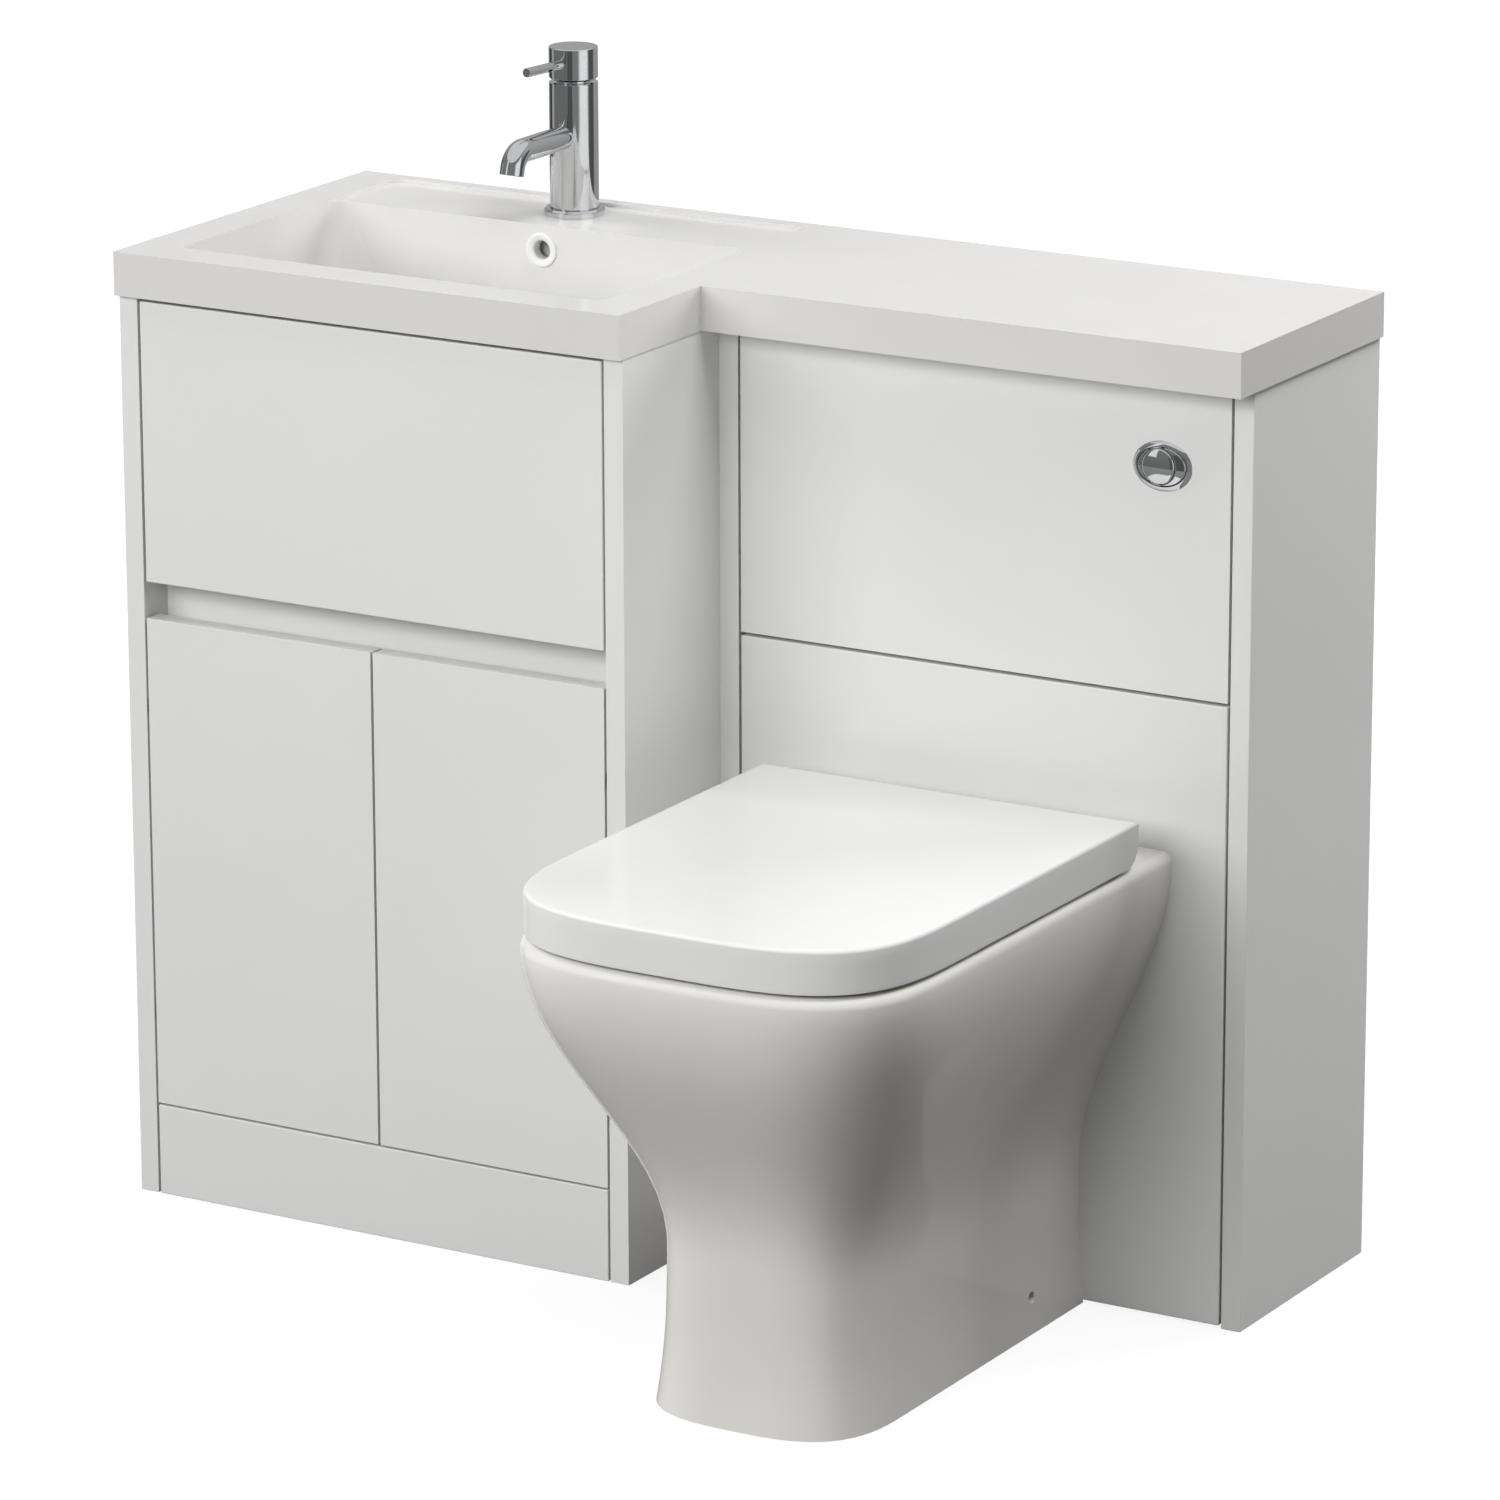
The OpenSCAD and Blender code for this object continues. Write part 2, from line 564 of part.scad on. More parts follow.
// ---- Waste and trap -------------------------------------------------------------------------
waste_wall = 3;
waste_flange_t = 3;
waste_nut_h = 9;
plug_stem_d = 9;
trap_wall = 3;
trap_socket_r = waste_pipe_d / 2 + 5;
trap_socket_out = 16;   // the trap's outlet socket stands out this far from the cup
spigot_in = 0.4;        // the pipe's end is this much smaller in radius inside the socket
trap_head_h = 54;
trap_head_z = waste_pipe_z - trap_socket_r - 15;
trap_head_r = trap_cup_d / 2 - trap_wall - 1;
trap_cup_top = waste_pipe_z - trap_socket_r - 2;
trap_cup_h = 55;
trap_cup_z = trap_cup_top - trap_cup_h;
trap_boss_h = 22;
waste_bottom_z = trap_head_z + trap_head_h + trap_boss_h - 16;

module basin_waste() color(chrome_grey) place() {
  difference() {
    union() {
      rod_z([basin_x, waste_y, bowl_z], waste_flange_d / 2, waste_flange_t);
      rod_z([basin_x, waste_y, waste_bottom_z], waste_tube_d / 2, bowl_z - waste_bottom_z + 1);
    }
    rod_z([basin_x, waste_y, waste_bottom_z - cut], waste_tube_d / 2 - waste_wall,
          bowl_z - waste_bottom_z + waste_flange_t + 2 * cut);
    // slots that take the overflow water
    board([basin_x - 8, waste_y - waste_tube_d, bowl_z - bowl_wall + duct_wall],
          [basin_x + 8, waste_y + waste_tube_d, bowl_z - 2]);
  }
  // the spider that guides the plug's stem
  difference() {
    union() {
      rod_z([basin_x, waste_y, bowl_z - 30], plug_stem_d / 2 + 3, 8);
      for (a = [0:120:240]) translate([basin_x, waste_y, bowl_z - 30]) rotate([0, 0, a + 30])
        translate([0, -1.5, 0]) cube([waste_tube_d / 2 - waste_wall + 1, 3, 8]);
    }
    rod_z([basin_x, waste_y, bowl_z - 30 - cut], plug_stem_d / 2 + seat_fit, 8 + 2 * cut);
  }
  // the nut under the bowl
  tube_z([basin_x, waste_y, bowl_z - bowl_wall - waste_nut_h], waste_tube_d / 2 + 9, waste_tube_d / 2 + seat_fit,
         waste_nut_h);
}
module waste_plug() color(chrome_grey) place() {
  rod_z([basin_x, waste_y, bowl_z + waste_flange_t + slack], waste_flange_d / 2 - 3, 2.5);
  translate([basin_x, waste_y, bowl_z + waste_flange_t + slack + 2.5])
    cylinder(r1 = waste_flange_d / 2 - 3, r2 = waste_flange_d / 2 - 9, h = 2, $fn = 64);
  rod_z([basin_x, waste_y, bowl_z - 38], plug_stem_d / 2, 38 + waste_flange_t + 1);
}
module bottle_trap() color(plastic_white) place() difference() {
  union() {
    rod_z([basin_x, waste_y, trap_head_z], trap_head_r, trap_head_h);
    rod_z([basin_x, waste_y, trap_head_z + trap_head_h - 1], waste_tube_d / 2 + 5, trap_boss_h + 1);
    rod_z([basin_x, waste_y, trap_cup_z + 14], waste_pipe_d / 2, trap_head_z + 10 - trap_cup_z - 14);
    rod_y([basin_x, waste_y, waste_pipe_z], trap_socket_r, trap_cup_d / 2 + trap_socket_out);
  }
  // socket for the waste's tube, the dip tube's bore, and the chamber round it
  rod_z([basin_x, waste_y, waste_bottom_z], waste_tube_d / 2 + seat_fit, 40);
  rod_z([basin_x, waste_y, trap_cup_z], waste_pipe_d / 2 - trap_wall, waste_bottom_z + cut - trap_cup_z);
  difference() {
    rod_z([basin_x, waste_y, trap_head_z - cut], trap_head_r - trap_wall, trap_head_h - trap_wall + cut);
    rod_z([basin_x, waste_y, trap_head_z - 2 * cut], waste_pipe_d / 2, trap_head_h + 2 * cut);
  }
  // the way out, and the socket for the pipe
  difference() {
    rod_y([basin_x, waste_y, waste_pipe_z], waste_pipe_d / 2 - 2, trap_cup_d / 2);
    rod_z([basin_x, waste_y, trap_head_z], waste_pipe_d / 2, trap_head_h);
  }
  rod_y([basin_x, waste_y + trap_cup_d / 2 - trap_wall, waste_pipe_z], waste_pipe_d / 2 - spigot_in + seat_fit,
        trap_wall + trap_socket_out + cut);
}
module trap_cup() color(plastic_white) place() difference() {
  rod_z([basin_x, waste_y, trap_cup_z], trap_cup_d / 2, trap_cup_h);
  rod_z([basin_x, waste_y, trap_cup_z + trap_wall], trap_head_r + seat_fit, trap_cup_h);
}
module waste_pipe() color(plastic_white) place() {
  socket_y = waste_y + trap_cup_d / 2;
  difference() {
    union() {
      rod_y([basin_x, socket_y + 1, waste_pipe_z], waste_pipe_d / 2 - spigot_in, trap_socket_out + 2);
      rod_y([basin_x, socket_y + trap_socket_out + 0.5, waste_pipe_z], waste_pipe_d / 2,
            -socket_y - trap_socket_out - 0.5);
    }
    rod_y([basin_x, waste_y, waste_pipe_z], waste_pipe_d / 2 - 2, -waste_y + cut);
  }
}

// ---- Tap ------------------------------------------------------------------------------------
tap_r = tap_d / 2;
spout_bend_r = 17;
spout_tail = 6.2;
spout_wall = 3;
cartridge_r = tap_r - 4.25;
cartridge_h = 38;
neck_r = tap_r - 6.25;
stem_r = 5;
head_z = tap_body_h + tap_neck_gap;
head_wall = 3.25;
head_top_t = 4;
tilt_y = 9;             // the head tilts on a pin behind the tap's axis
tilt_z = head_z + 8;
tilt_pin_r = 2;
lever_z = head_z + tap_head_h / 2 + 1;
lever_rise = 2;         // degrees
shank_r = 4;

module at_tap() place() translate([basin_x, -tap_back, ledge_z]) children();
// The spout along its centre line: straight, bend, short tail.
module spout_path(r, start, past) {
  rod_y([0, -spout_run, spout_z], r, spout_run - start);
  translate([0, -spout_run, spout_z - spout_bend_r]) rotate([0, -90, 0]) mirror([0, 1, 0])
    rotate_extrude(angle = spout_bend) translate([spout_bend_r, 0]) circle(r = r);
  translate([0, -spout_run, spout_z - spout_bend_r]) rotate([spout_bend, 0, 0])
    translate([0, 0, spout_bend_r]) rod_y([0, -spout_tail - past, 0], r, spout_tail + past);
}
module tap_body() color(chrome_grey) at_tap() difference() {
  union() {
    rod_z([0, 0, 0], tap_r, tap_body_h);
    spout_path(spout_d / 2, 0, 0);
  }
  spout_path(spout_d / 2 - spout_wall, 0, 1);
  rod_z([0, 0, spout_z - 12], spout_d / 2 - spout_wall + 1, 30);
  rod_z([0, 0, tap_body_h - cartridge_h], cartridge_r, cartridge_h + cut);
  outlet_place() rod_y([0, -cut, 0], spout_d / 2 - 1.8, aerator_l + cut);
  for (s = [-1, 1]) rod_z([s * inlet_off, -3, -cut], inlet_r, 16);
  rod_z([0, 9, -cut], shank_r, 21);
}
inlet_r = 4.6;
inlet_off = 9;
aerator_l = 5;
// Places its children on the spout's outlet, with +y into the spout.
module outlet_place() translate([0, -spout_run, spout_z - spout_bend_r]) rotate([spout_bend, 0, 0])
  translate([0, -spout_tail, spout_bend_r]) children();
module tap_base_ring() color(chrome_grey) at_tap() difference() {
  rotate_extrude() polygon([[tap_r + seat_fit, 0], [tap_ring_d / 2, 0], [tap_ring_d / 2, tap_ring_h - 2],
                            [tap_ring_d / 2 - 2, tap_ring_h], [tap_r + seat_fit, tap_ring_h]]);
}
module tap_aerator() color(chrome_grey) at_tap() outlet_place() difference() {
  rod_y([0, 0.5, 0], spout_d / 2 - 1.8 - seat_fit, aerator_l - 0.5);
  rod_y([0, -cut, 0], spout_d / 2 - 4.5, aerator_l + 2 * cut);
}
module tap_cartridge() color(plastic_grey) at_tap() difference() {
  union() {
    rod_z([0, 0, tap_body_h - cartridge_h], cartridge_r - seat_fit, cartridge_h);
    rod_z([0, 0, tap_body_h - 1], neck_r, 4);
  }
  rod_z([0, 0, tap_body_h - 10], stem_r + seat_fit, 20);
}
module cartridge_stem() color(steel) at_tap() {
  rod_z([0, 0, tap_body_h - 10 + slack], stem_r, tilt_z - tap_body_h + 13);
  board([-4, 0, tilt_z - 4], [4, tilt_y + 4, tilt_z + 3]);
  rod_x([-13, tilt_y, tilt_z], tilt_pin_r, 26);
}
module tap_head() color(chrome_grey) at_tap() difference() {
  union() {
    difference() {
      rotate_extrude() polygon([[0, head_z], [tap_r - 1.5, head_z], [tap_r, head_z + 1.5],
                                [tap_r, head_z + tap_head_h - 0.6], [tap_r - 0.6, head_z + tap_head_h],
                                [0, head_z + tap_head_h]]);
      rod_z([0, 0, head_z - cut], tap_r - head_wall, tap_head_h - head_top_t + cut);
    }
    // lugs on the tilt pin, and the lever's boss
    for (x = [-11, 6]) board([x, tilt_y - 4, tilt_z - 4], [x + 5, tilt_y + 4, head_z + tap_head_h - 2]);
    rod_y([0, -tap_r + head_wall - 1, lever_z], lever_d / 2 + 2, 6);
  }
  rod_x([-14, tilt_y, tilt_z], tilt_pin_r + seat_fit, 28);
  lever_place(-lever_d) rod_y([0, 0, 0], lever_d / 2 + seat_fit / 2, 20);
}
// The lever's axis leaves the head at the front, with a slight rise.
module lever_place(back) translate([0, -tap_r + head_wall, lever_z]) rotate([-lever_rise, 0, 0])
  translate([0, back, 0]) children();
module tap_lever() color(chrome_grey) at_tap() lever_place(0)
  rod_y([0, -lever_reach + tap_r - head_wall, 0], lever_d / 2, lever_reach - tap_r + head_wall + 4);
module tap_clamp() color(steel) at_tap() {
  under = -(top_t - ledge_drop);
  rod_z([0, 9, under - 24], shank_r - seat_fit, 24 - under + 18);
  difference() {
    rod_z([0, 0, under - 3], tap_hole_d / 2 + 6, 3);
    board([-inlet_off - 6, -40, under - 4], [inlet_off + 6, 4, under + 1]);
    rod_z([0, 9, under - 4], shank_r, 5);
  }
  tube_z([0, 9, under - 12], shank_r + 4, shank_r, 9);
}

// ---- Pan ------------------------------------------------------------------------------------
rim_half = pan_rim_w / 2;
waist_half = pan_waist_w / 2;
pan_front_y = wc_front_y - pan_proj;
side_rise_z = 125;      // where the sides begin to widen
toe_rise_z = 140;       // where the front begins to lean out
flare_z = 90;           // where the flare of the foot ends
edge_r = 9;             // rounding of the rim's outer edge
deck_t = 22;            // thickness of the deck behind the bowl
nose_foot = 102;        // length of the rounded front at the foot
nose_rim = 167;         // length of the rounded front at the rim
square_foot = 3;        // how square the front's corners are at the foot
square_rim = 3.4;       // and at the rim
curve_steps = 10;

function ease(t) = let (u = min(max(t, 0), 1)) u * u * (3 - 2 * u);
function flare(z) = pow(max(1 - z / flare_z, 0), 2);
function pan_half(z) = waist_half + (rim_half - waist_half) * ease((z - side_rise_z) / (pan_h - edge_r - side_rise_z))
  + pan_foot_flare * flare(z);
function pan_front(z) = pan_proj - pan_toe_back * (1 - ease((z - toe_rise_z) / (pan_h - edge_r - toe_rise_z)))
  + pan_toe_flare * flare(z);
function pan_nose(z) = nose_foot + (nose_rim - nose_foot) * ease(z / pan_h);
function pan_square(z) = square_foot + (square_rim - square_foot) * ease(z / pan_h);
// Half of a rounded front: points from the side to the middle.
function nose(w, front, length, square) = [for (i = [0:curve_steps]) let (a = 90 * i / curve_steps)
  [w * pow(cos(a), 2 / square), -(front - length + length * pow(sin(a), 2 / square))]];
// A ring with a straight back at y = back and a rounded front, about the pan's middle.
function d_ring(w, front, length, square, back, z) = let (half = nose(w, front, length, square)) concat(
  [[wc_x - w, wc_front_y + back, z]],
  [for (p = half) [wc_x - p[0], wc_front_y + p[1], z]],
  [for (i = [1:curve_steps]) let (p = half[curve_steps - i]) [wc_x + p[0], wc_front_y + p[1], z]],
  [[wc_x + w, wc_front_y + back, z]]);
function pan_ring(z, inset, back) =
  d_ring(pan_half(z) - inset, pan_front(z) - inset, pan_nose(z) - inset / 2, pan_square(z), back, z);

pan_zs = [0, 20, 45, 90, 125, 150, 175, 200, 225, 250, 275, 300, 325, 350, 375];
edge_steps = 4;
module pan_outside() loft(concat(
  [for (z = pan_zs) pan_ring(z, 0, 0)],
  [for (i = [0:edge_steps]) let (a = 90 * i / edge_steps)
    pan_ring(pan_h - edge_r + edge_r * sin(a), edge_r * (1 - cos(a)), 0)]));
cavity_zs = [-cut, 45, 90, 125, 175, 200, 225, 250, 275, 300, 325, 350, pan_h - deck_t];
module pan_cavity() loft([for (z = cavity_zs) pan_ring(z, pan_wall, cut)]);

// The bowl: height, half width, half length and middle of each level, as shares of its size.
rim_cover = 40;         // breadth of the rim in front of the bowl
bowl_half_w = rim_half - 55;
bowl_half_l = 165;
bowl_mid_y = pan_front_y + rim_cover + bowl_half_l;
sump_z = 120;
oval_steps = 24;
bowl_levels = [
  [0, 0.24, 0.19, 45], [0.06, 0.30, 0.25, 42], [0.25, 0.42, 0.40, 32], [0.47, 0.66, 0.66, 17],
  [0.70, 0.88, 0.88, 6], [0.88, 0.98, 0.985, 1], [1, 1, 1, 0]];
function oval_ring(cx, cy, w, l, square, z) = [for (i = [0:oval_steps - 1]) let (a = 360 * i / oval_steps)
  [cx + w * sign(cos(a)) * pow(abs(cos(a)), 2 / square),
   cy + l * sign(sin(a)) * pow(abs(sin(a)), 2 / square), z]];
module bowl_form(out, top) loft([for (b = bowl_levels)
  oval_ring(wc_x, bowl_mid_y + b[3], bowl_half_w * b[1] + out, bowl_half_l * b[2] + out, 2.4,
            sump_z - out + (top - sump_z + out) * b[0])]);

// The trapway's centre line, in y and z: out of the bowl, over the weir and down to the outlet.
trap_r = 24;
trap_wall_out = 10;
outlet_out = 34;        // how far the outlet stands out behind the pan
outlet_l = 100;         // length of the outlet's straight run
weir_back = 162;        // the weir's place behind the bowl's middle
weir_up = 58;           // and above the outlet
weir = [bowl_mid_y + weir_back, outlet_z + weir_up];
exit_back = 50;         // where the trapway leaves the bowl, behind its middle
exit_pull = [62, -14];  // how far the curve holds its line at the bowl, the weir and the drop
weir_pull = 56;
drop_pull = 46;
bowl_exit = [bowl_mid_y + exit_back, sump_z + trap_r];
outlet_in = [wc_front_y + outlet_out - outlet_l + 14, outlet_z];
function curve(a, b, c, d, t) = a * pow(1 - t, 3) + 3 * b * t * pow(1 - t, 2) + 3 * c * t * t * (1 - t) + d * pow(t, 3);
trap_line = concat(
  [for (i = [0:6]) curve(bowl_exit, bowl_exit + exit_pull, weir - [weir_pull, 0], weir, i / 6)],
  [for (i = [1:5]) curve(weir, weir + [drop_pull, 0], outlet_in - [drop_pull, 0], outlet_in, i / 5)]);
// A round pipe along a line of [y, z] points in the pan's middle plane.
pipe_steps = 16;
module pipe_along(line, r) {
  last = len(line) - 1;
  loft([for (k = [0:last]) let (
      d = line[min(k + 1, last)] - line[max(k - 1, 0)],
      u = d / norm(d))
    [for (i = [0:pipe_steps - 1]) let (a = 360 * i / pipe_steps)
      [wc_x + r * cos(a), line[k][0] + u[1] * r * sin(a), line[k][1] - u[0] * r * sin(a)]]]);
}
hinge_r = 19;           // radius of the lid's back edge about the hinge
hinge_y = wc_front_y - lid_back - hinge_r;
side_hole_back = 86;    // distance from the panel to the holes in the foot's sides
side_hole_y = wc_front_y - side_hole_back;
side_hole_z = 31;
side_hole_d = 10;
hinge_hole_d = 14;
inlet_wall = 9;
inlet_in = 30;          // the inlet's boss starts this far in front of the bowl's back
pan_back_gap = 4;       // the inlet's boss ends this far short of the panel

module pan() color(china) place() difference() {
  union() {
    difference() {
      pan_outside();
      pan_cavity();
    }
    bowl_form(pan_wall - 1, pan_h - 5);
    pipe_along(trap_line, trap_r + trap_wall_out);
    rod_y([wc_x, wc_front_y + outlet_out - outlet_l, outlet_z], outlet_d / 2, outlet_l);
    rod_y([wc_x, bowl_mid_y + bowl_half_l - inlet_in, inlet_z], inlet_d / 2 + inlet_wall,
          wc_front_y - pan_back_gap - bowl_mid_y - bowl_half_l + inlet_in);
  }
  bowl_form(0, pan_h + cut);
  pipe_along(trap_line, trap_r);
  rod_y([wc_x, wc_front_y + outlet_out - outlet_l + 12, outlet_z], outlet_d / 2 - 8, outlet_l);
  rod_y([wc_x, bowl_mid_y + bowl_half_l - inlet_in - 10, inlet_z], inlet_d / 2,
        wc_front_y - bowl_mid_y - bowl_half_l + inlet_in + 10 + cut);
  for (s = [-1, 1]) {
    rod_z([wc_x + s * hinge_spacing / 2, hinge_y, pan_h - 60], hinge_hole_d / 2, 60 + cut);
    rod_x([wc_x + s * (waist_half - 8) - 30, side_hole_y, side_hole_z], side_hole_d / 2, 60);
  }
}
// Floor brackets inside the foot, each with its side screw.
bracket_out = waist_half - pan_wall - 0.5;
bracket_w = 44;
bracket_d = 40;
bracket_t = 5;
floor_hole_d = 8;
module pan_brackets() color(plastic_white) place() for (s = [-1, 1])
  translate([wc_x, side_hole_y, 0]) mirror([s < 0 ? 1 : 0, 0, 0]) {
    difference() {
      union() {
        board([bracket_out - bracket_w, -bracket_d / 2, 0], [bracket_out, bracket_d / 2, bracket_t]);
        board([bracket_out - 12, -bracket_d / 2, 0], [bracket_out, bracket_d / 2, side_hole_z + 16]);
      }
      rod_z([bracket_out - bracket_w + 14, 0, -cut], floor_hole_d / 2, bracket_t + 2 * cut);
      rod_x([bracket_out - 12 - cut, 0, side_hole_z], 2.5, 12 + 2 * cut);
    }
    rod_x([bracket_out - 16, 0, side_hole_z], 2.5 - seat_fit, 22);
    rod_x([bracket_out + 4, 0, side_hole_z], side_hole_d / 2 - 0.6, 3);
  }
module pan_connector() color(plastic_white) place() difference() {
  union() {
    rod_y([wc_x, wc_front_y + socket_out, outlet_z], outlet_d / 2 + socket_wall, socket_l);
    rod_y([wc_x, wc_front_y + socket_out + socket_l - 1, outlet_z], soil_pipe_d / 2, -wc_front_y - socket_out - socket_l + 1);
  }
  rod_y([wc_x, wc_front_y, outlet_z], outlet_d / 2 + seat_fit, outlet_out + 6);
  rod_y([wc_x, wc_front_y, outlet_z], soil_pipe_d / 2 - 4, -wc_front_y + cut);
}
soil_pipe_d = 110;
socket_l = 70;          // length of the connector's socket for the pan
socket_wall = 7;
socket_out = 5;         // it starts this far behind the panel's face

// ---- Seat and lid ---------------------------------------------------------------------------
lid_z0 = pan_h + lid_gap;
lid_z1 = lid_z0 + lid_h;
hinge_z = lid_z0 + hinge_r;
lid_front = pan_proj - lid_front_back;
lid_half = rim_half - lid_side_in;
lid_wall = 4.5;
lid_nose = 164;
seat_side_gap = 1.8;
seat_half = lid_half - lid_wall - seat_side_gap;
seat_front = lid_front - lid_wall - seat_side_gap;
seat_z0 = lid_z0 + 1;
seat_z1 = seat_z0 + seat_t;
seat_back_y = hinge_y - 12;
post_w = 16;
post_r = 7.5;
post_bolt_d = 8;
post_bolt_l = 55;       // length of a post's bolt below the pan's deck
post_nut_h = 8;
lid_buffer_front = 87;  // from the lid's front to its front buffers
lid_buffer_back = 106;  // from the lid's back to its rear buffers
ear_r = 9;
ear_gap = 0.5;
ear_w = 10;
pin_out = post_w / 2 + 2 * ear_w + 2 * ear_gap + 1;
notch = post_w / 2 + ear_w + 2 * ear_gap;
lid_back_y = -lid_back;

// A shape that fills the lid's plan, from z0 to z1, drawn in by inset and cut off at the back.
module lid_plan(inset, z0, z1, back) loft([for (z = [z0, z1])
  d_ring(lid_half - inset, lid_front - inset, lid_nose - inset / 2, square_rim, back, z)]);
// The lid's outside: the plan, with its top edges eased.
module lid_outside() loft([
  for (s = [[0, lid_z0], [0, lid_z1 - 1.5], [0.45, lid_z1 - 0.45], [1.5, lid_z1]])
    d_ring(lid_half - s[0], lid_front - s[0], lid_nose, square_rim, lid_back_y - s[0], s[1])]);
// What the back edge loses to be round about the hinge.
module lid_back_round() difference() {
  board([wc_x - lid_half - cut, hinge_y, lid_z0 - cut], [wc_x + lid_half + cut, hinge_y + hinge_r + cut, hinge_z]);
  rod_x([wc_x - lid_half - 2 * cut, hinge_y, hinge_z], hinge_r, 2 * lid_half + 4 * cut);
}
module lid_inside() {
  x0 = wc_x - lid_half + lid_wall;
  x1 = wc_x + lid_half - lid_wall;
  lid_plan(lid_wall, lid_z0 - cut, lid_z1 - lid_top_t, lid_back_y - hinge_r);
  board([x0, hinge_y - cut, hinge_z], [x1, hinge_y + hinge_r - lid_wall, lid_z1 - lid_top_t]);
  board([x0, hinge_y - 6, lid_z0 - cut], [x1, hinge_y, hinge_z]);
  rod_x([x0, hinge_y, hinge_z], hinge_r - lid_wall, x1 - x0);
}
module seat_lid() color(white) place() difference() {
  union() {
    difference() {
      lid_outside();
      lid_back_round();
      lid_inside();
    }
    for (s = [-1, 1], t = [-1, 1]) translate([wc_x + s * hinge_spacing / 2 + t * (notch + ear_w / 2), 0, 0]) {
      rod_x([-ear_w / 2, hinge_y, hinge_z], ear_r, ear_w);
      board([-ear_w / 2, hinge_y - ear_r, hinge_z], [ear_w / 2, hinge_y + ear_r, lid_z1 - lid_top_t + 1]);
    }
    // buffers that rest on the seat
    for (s = [-1, 1], y = [lid_buffer_front - lid_front, -lid_back - lid_buffer_back])
      rod_z([wc_x + s * (lid_half - 38), wc_front_y + y, seat_z1 + slack], 7, lid_z1 - lid_top_t + 1 - seat_z1 - slack);
  }
  for (s = [-1, 1]) {
    rod_x([wc_x + s * hinge_spacing / 2 - pin_out - cut, hinge_y, hinge_z], hinge_pin_d / 2 + seat_fit,
          2 * pin_out + 2 * cut);
    board([wc_x + s * hinge_spacing / 2 - notch, hinge_y - 10, lid_z0 - cut],
          [wc_x + s * hinge_spacing / 2 + notch, hinge_y + hinge_r + cut, hinge_z + 10]);
  }
}
// The ring that is sat on, with its ears on the hinge pins.
hole_half_w = bowl_half_w - 16;
hole_half_l = bowl_half_l - 26;
hole_mid_y = bowl_mid_y - 4;
module seat_ring() color(white) place() difference() {
  union() {
    difference() {
      loft([for (s = [[1.5, seat_z0], [0, seat_z0 + 1.5], [0, seat_z1 - 5], [1.5, seat_z1 - 1.5], [5, seat_z1]])
        d_ring(seat_half - s[0], seat_front - s[0], lid_nose - 4, square_rim,
               seat_back_y - wc_front_y - s[0], s[1])]);
      loft([for (s = [[-2, seat_z0 - cut], [0, seat_z0 + 3], [0, seat_z1 - 6], [2, seat_z1 - 2], [6, seat_z1 + 0.1]])
        oval_ring(wc_x, hole_mid_y, hole_half_w + s[0], hole_half_l + s[0], 2.3, s[1])]);
    }
    for (s = [-1, 1], t = [-1, 1])
      translate([wc_x + s * hinge_spacing / 2 + t * (post_w / 2 + ear_gap + ear_w / 2), 0, 0]) {
        rod_x([-ear_w / 2, hinge_y, hinge_z], ear_r - 1, ear_w);
        board([-ear_w / 2, seat_back_y - 6, seat_z0 + 3], [ear_w / 2, hinge_y, hinge_z + 4]);
      }
  }
  for (s = [-1, 1])
    rod_x([wc_x + s * hinge_spacing / 2 - pin_out - cut, hinge_y, hinge_z], hinge_pin_d / 2 + seat_fit,
          2 * pin_out + 2 * cut);
}
module seat_hinge_posts() color(steel) place() for (s = [-1, 1])
  translate([wc_x + s * hinge_spacing / 2, hinge_y, 0]) {
    rod_x([-post_w / 2, 0, hinge_z], post_r, post_w);
    board([-post_w / 2, -post_r, pan_h], [post_w / 2, post_r, hinge_z]);
    rod_x([-pin_out, 0, hinge_z], hinge_pin_d / 2, 2 * pin_out);
    rod_z([0, 0, pan_h - post_bolt_l], post_bolt_d / 2, post_bolt_l + 1);
    rod_z([0, 0, pan_h - deck_t - post_nut_h], post_bolt_d * 1.5, post_nut_h);
  }
buffer_l = 24;
buffer_in = 22;         // from the seat's side to a buffer's middle
buffer_ys = [seat_back_y - buffer_l / 2 - 3, seat_back_y - seat_front + lid_nose];
module seat_buffers() color(plastic_white) place() for (s = [-1, 1], y = buffer_ys)
  translate([wc_x + s * (seat_half - buffer_in), y, 0])
    board([-6, -buffer_l / 2, pan_h + slack], [6, buffer_l / 2, seat_z0]);

// ---- Cistern --------------------------------------------------------------------------------
tank_back_y = -board_t;
tank_front_y = tank_back_y - tank_d;
valve_y = tank_back_y - tank_d / 2;
tank_x0 = in2_x0 + tank_side_gap;
tank_x1 = in2_x1 - tank_side_gap;
tank_top = tank_z + tank_h;
tank_floor = tank_z + tank_wall;
fill_x = tank_x0 + fill_valve_in;
valve_tail_r = flush_pipe_d / 2 + 4;
valve_tail_l = 60;
cage_r = 34;
cage_wall = 3;
cage_h = 130;
piston_r = 29;
tower_r = 13;
fill_r = 9;
fill_tail_l = 45;
inlet_thread_r = 10.4;
inlet_free_l = 30;      // free length of the cistern's inlet thread
shank_out = 0.6;        // the shank above it is this much bigger in radius
fill_top_gap = 10;      // the fill valve's head ends this far below the tank's top
fill_head_h = 30;
fill_stop_z = 84;       // height of the float's lower stop above the tank's floor
fill_stop_t = 5;
tower_top_gap = 60;     // the flush valve's tower ends this far below the tank's top
float_r = 27;
float_h = 50;
float_travel = 60;
cover_t = 3;

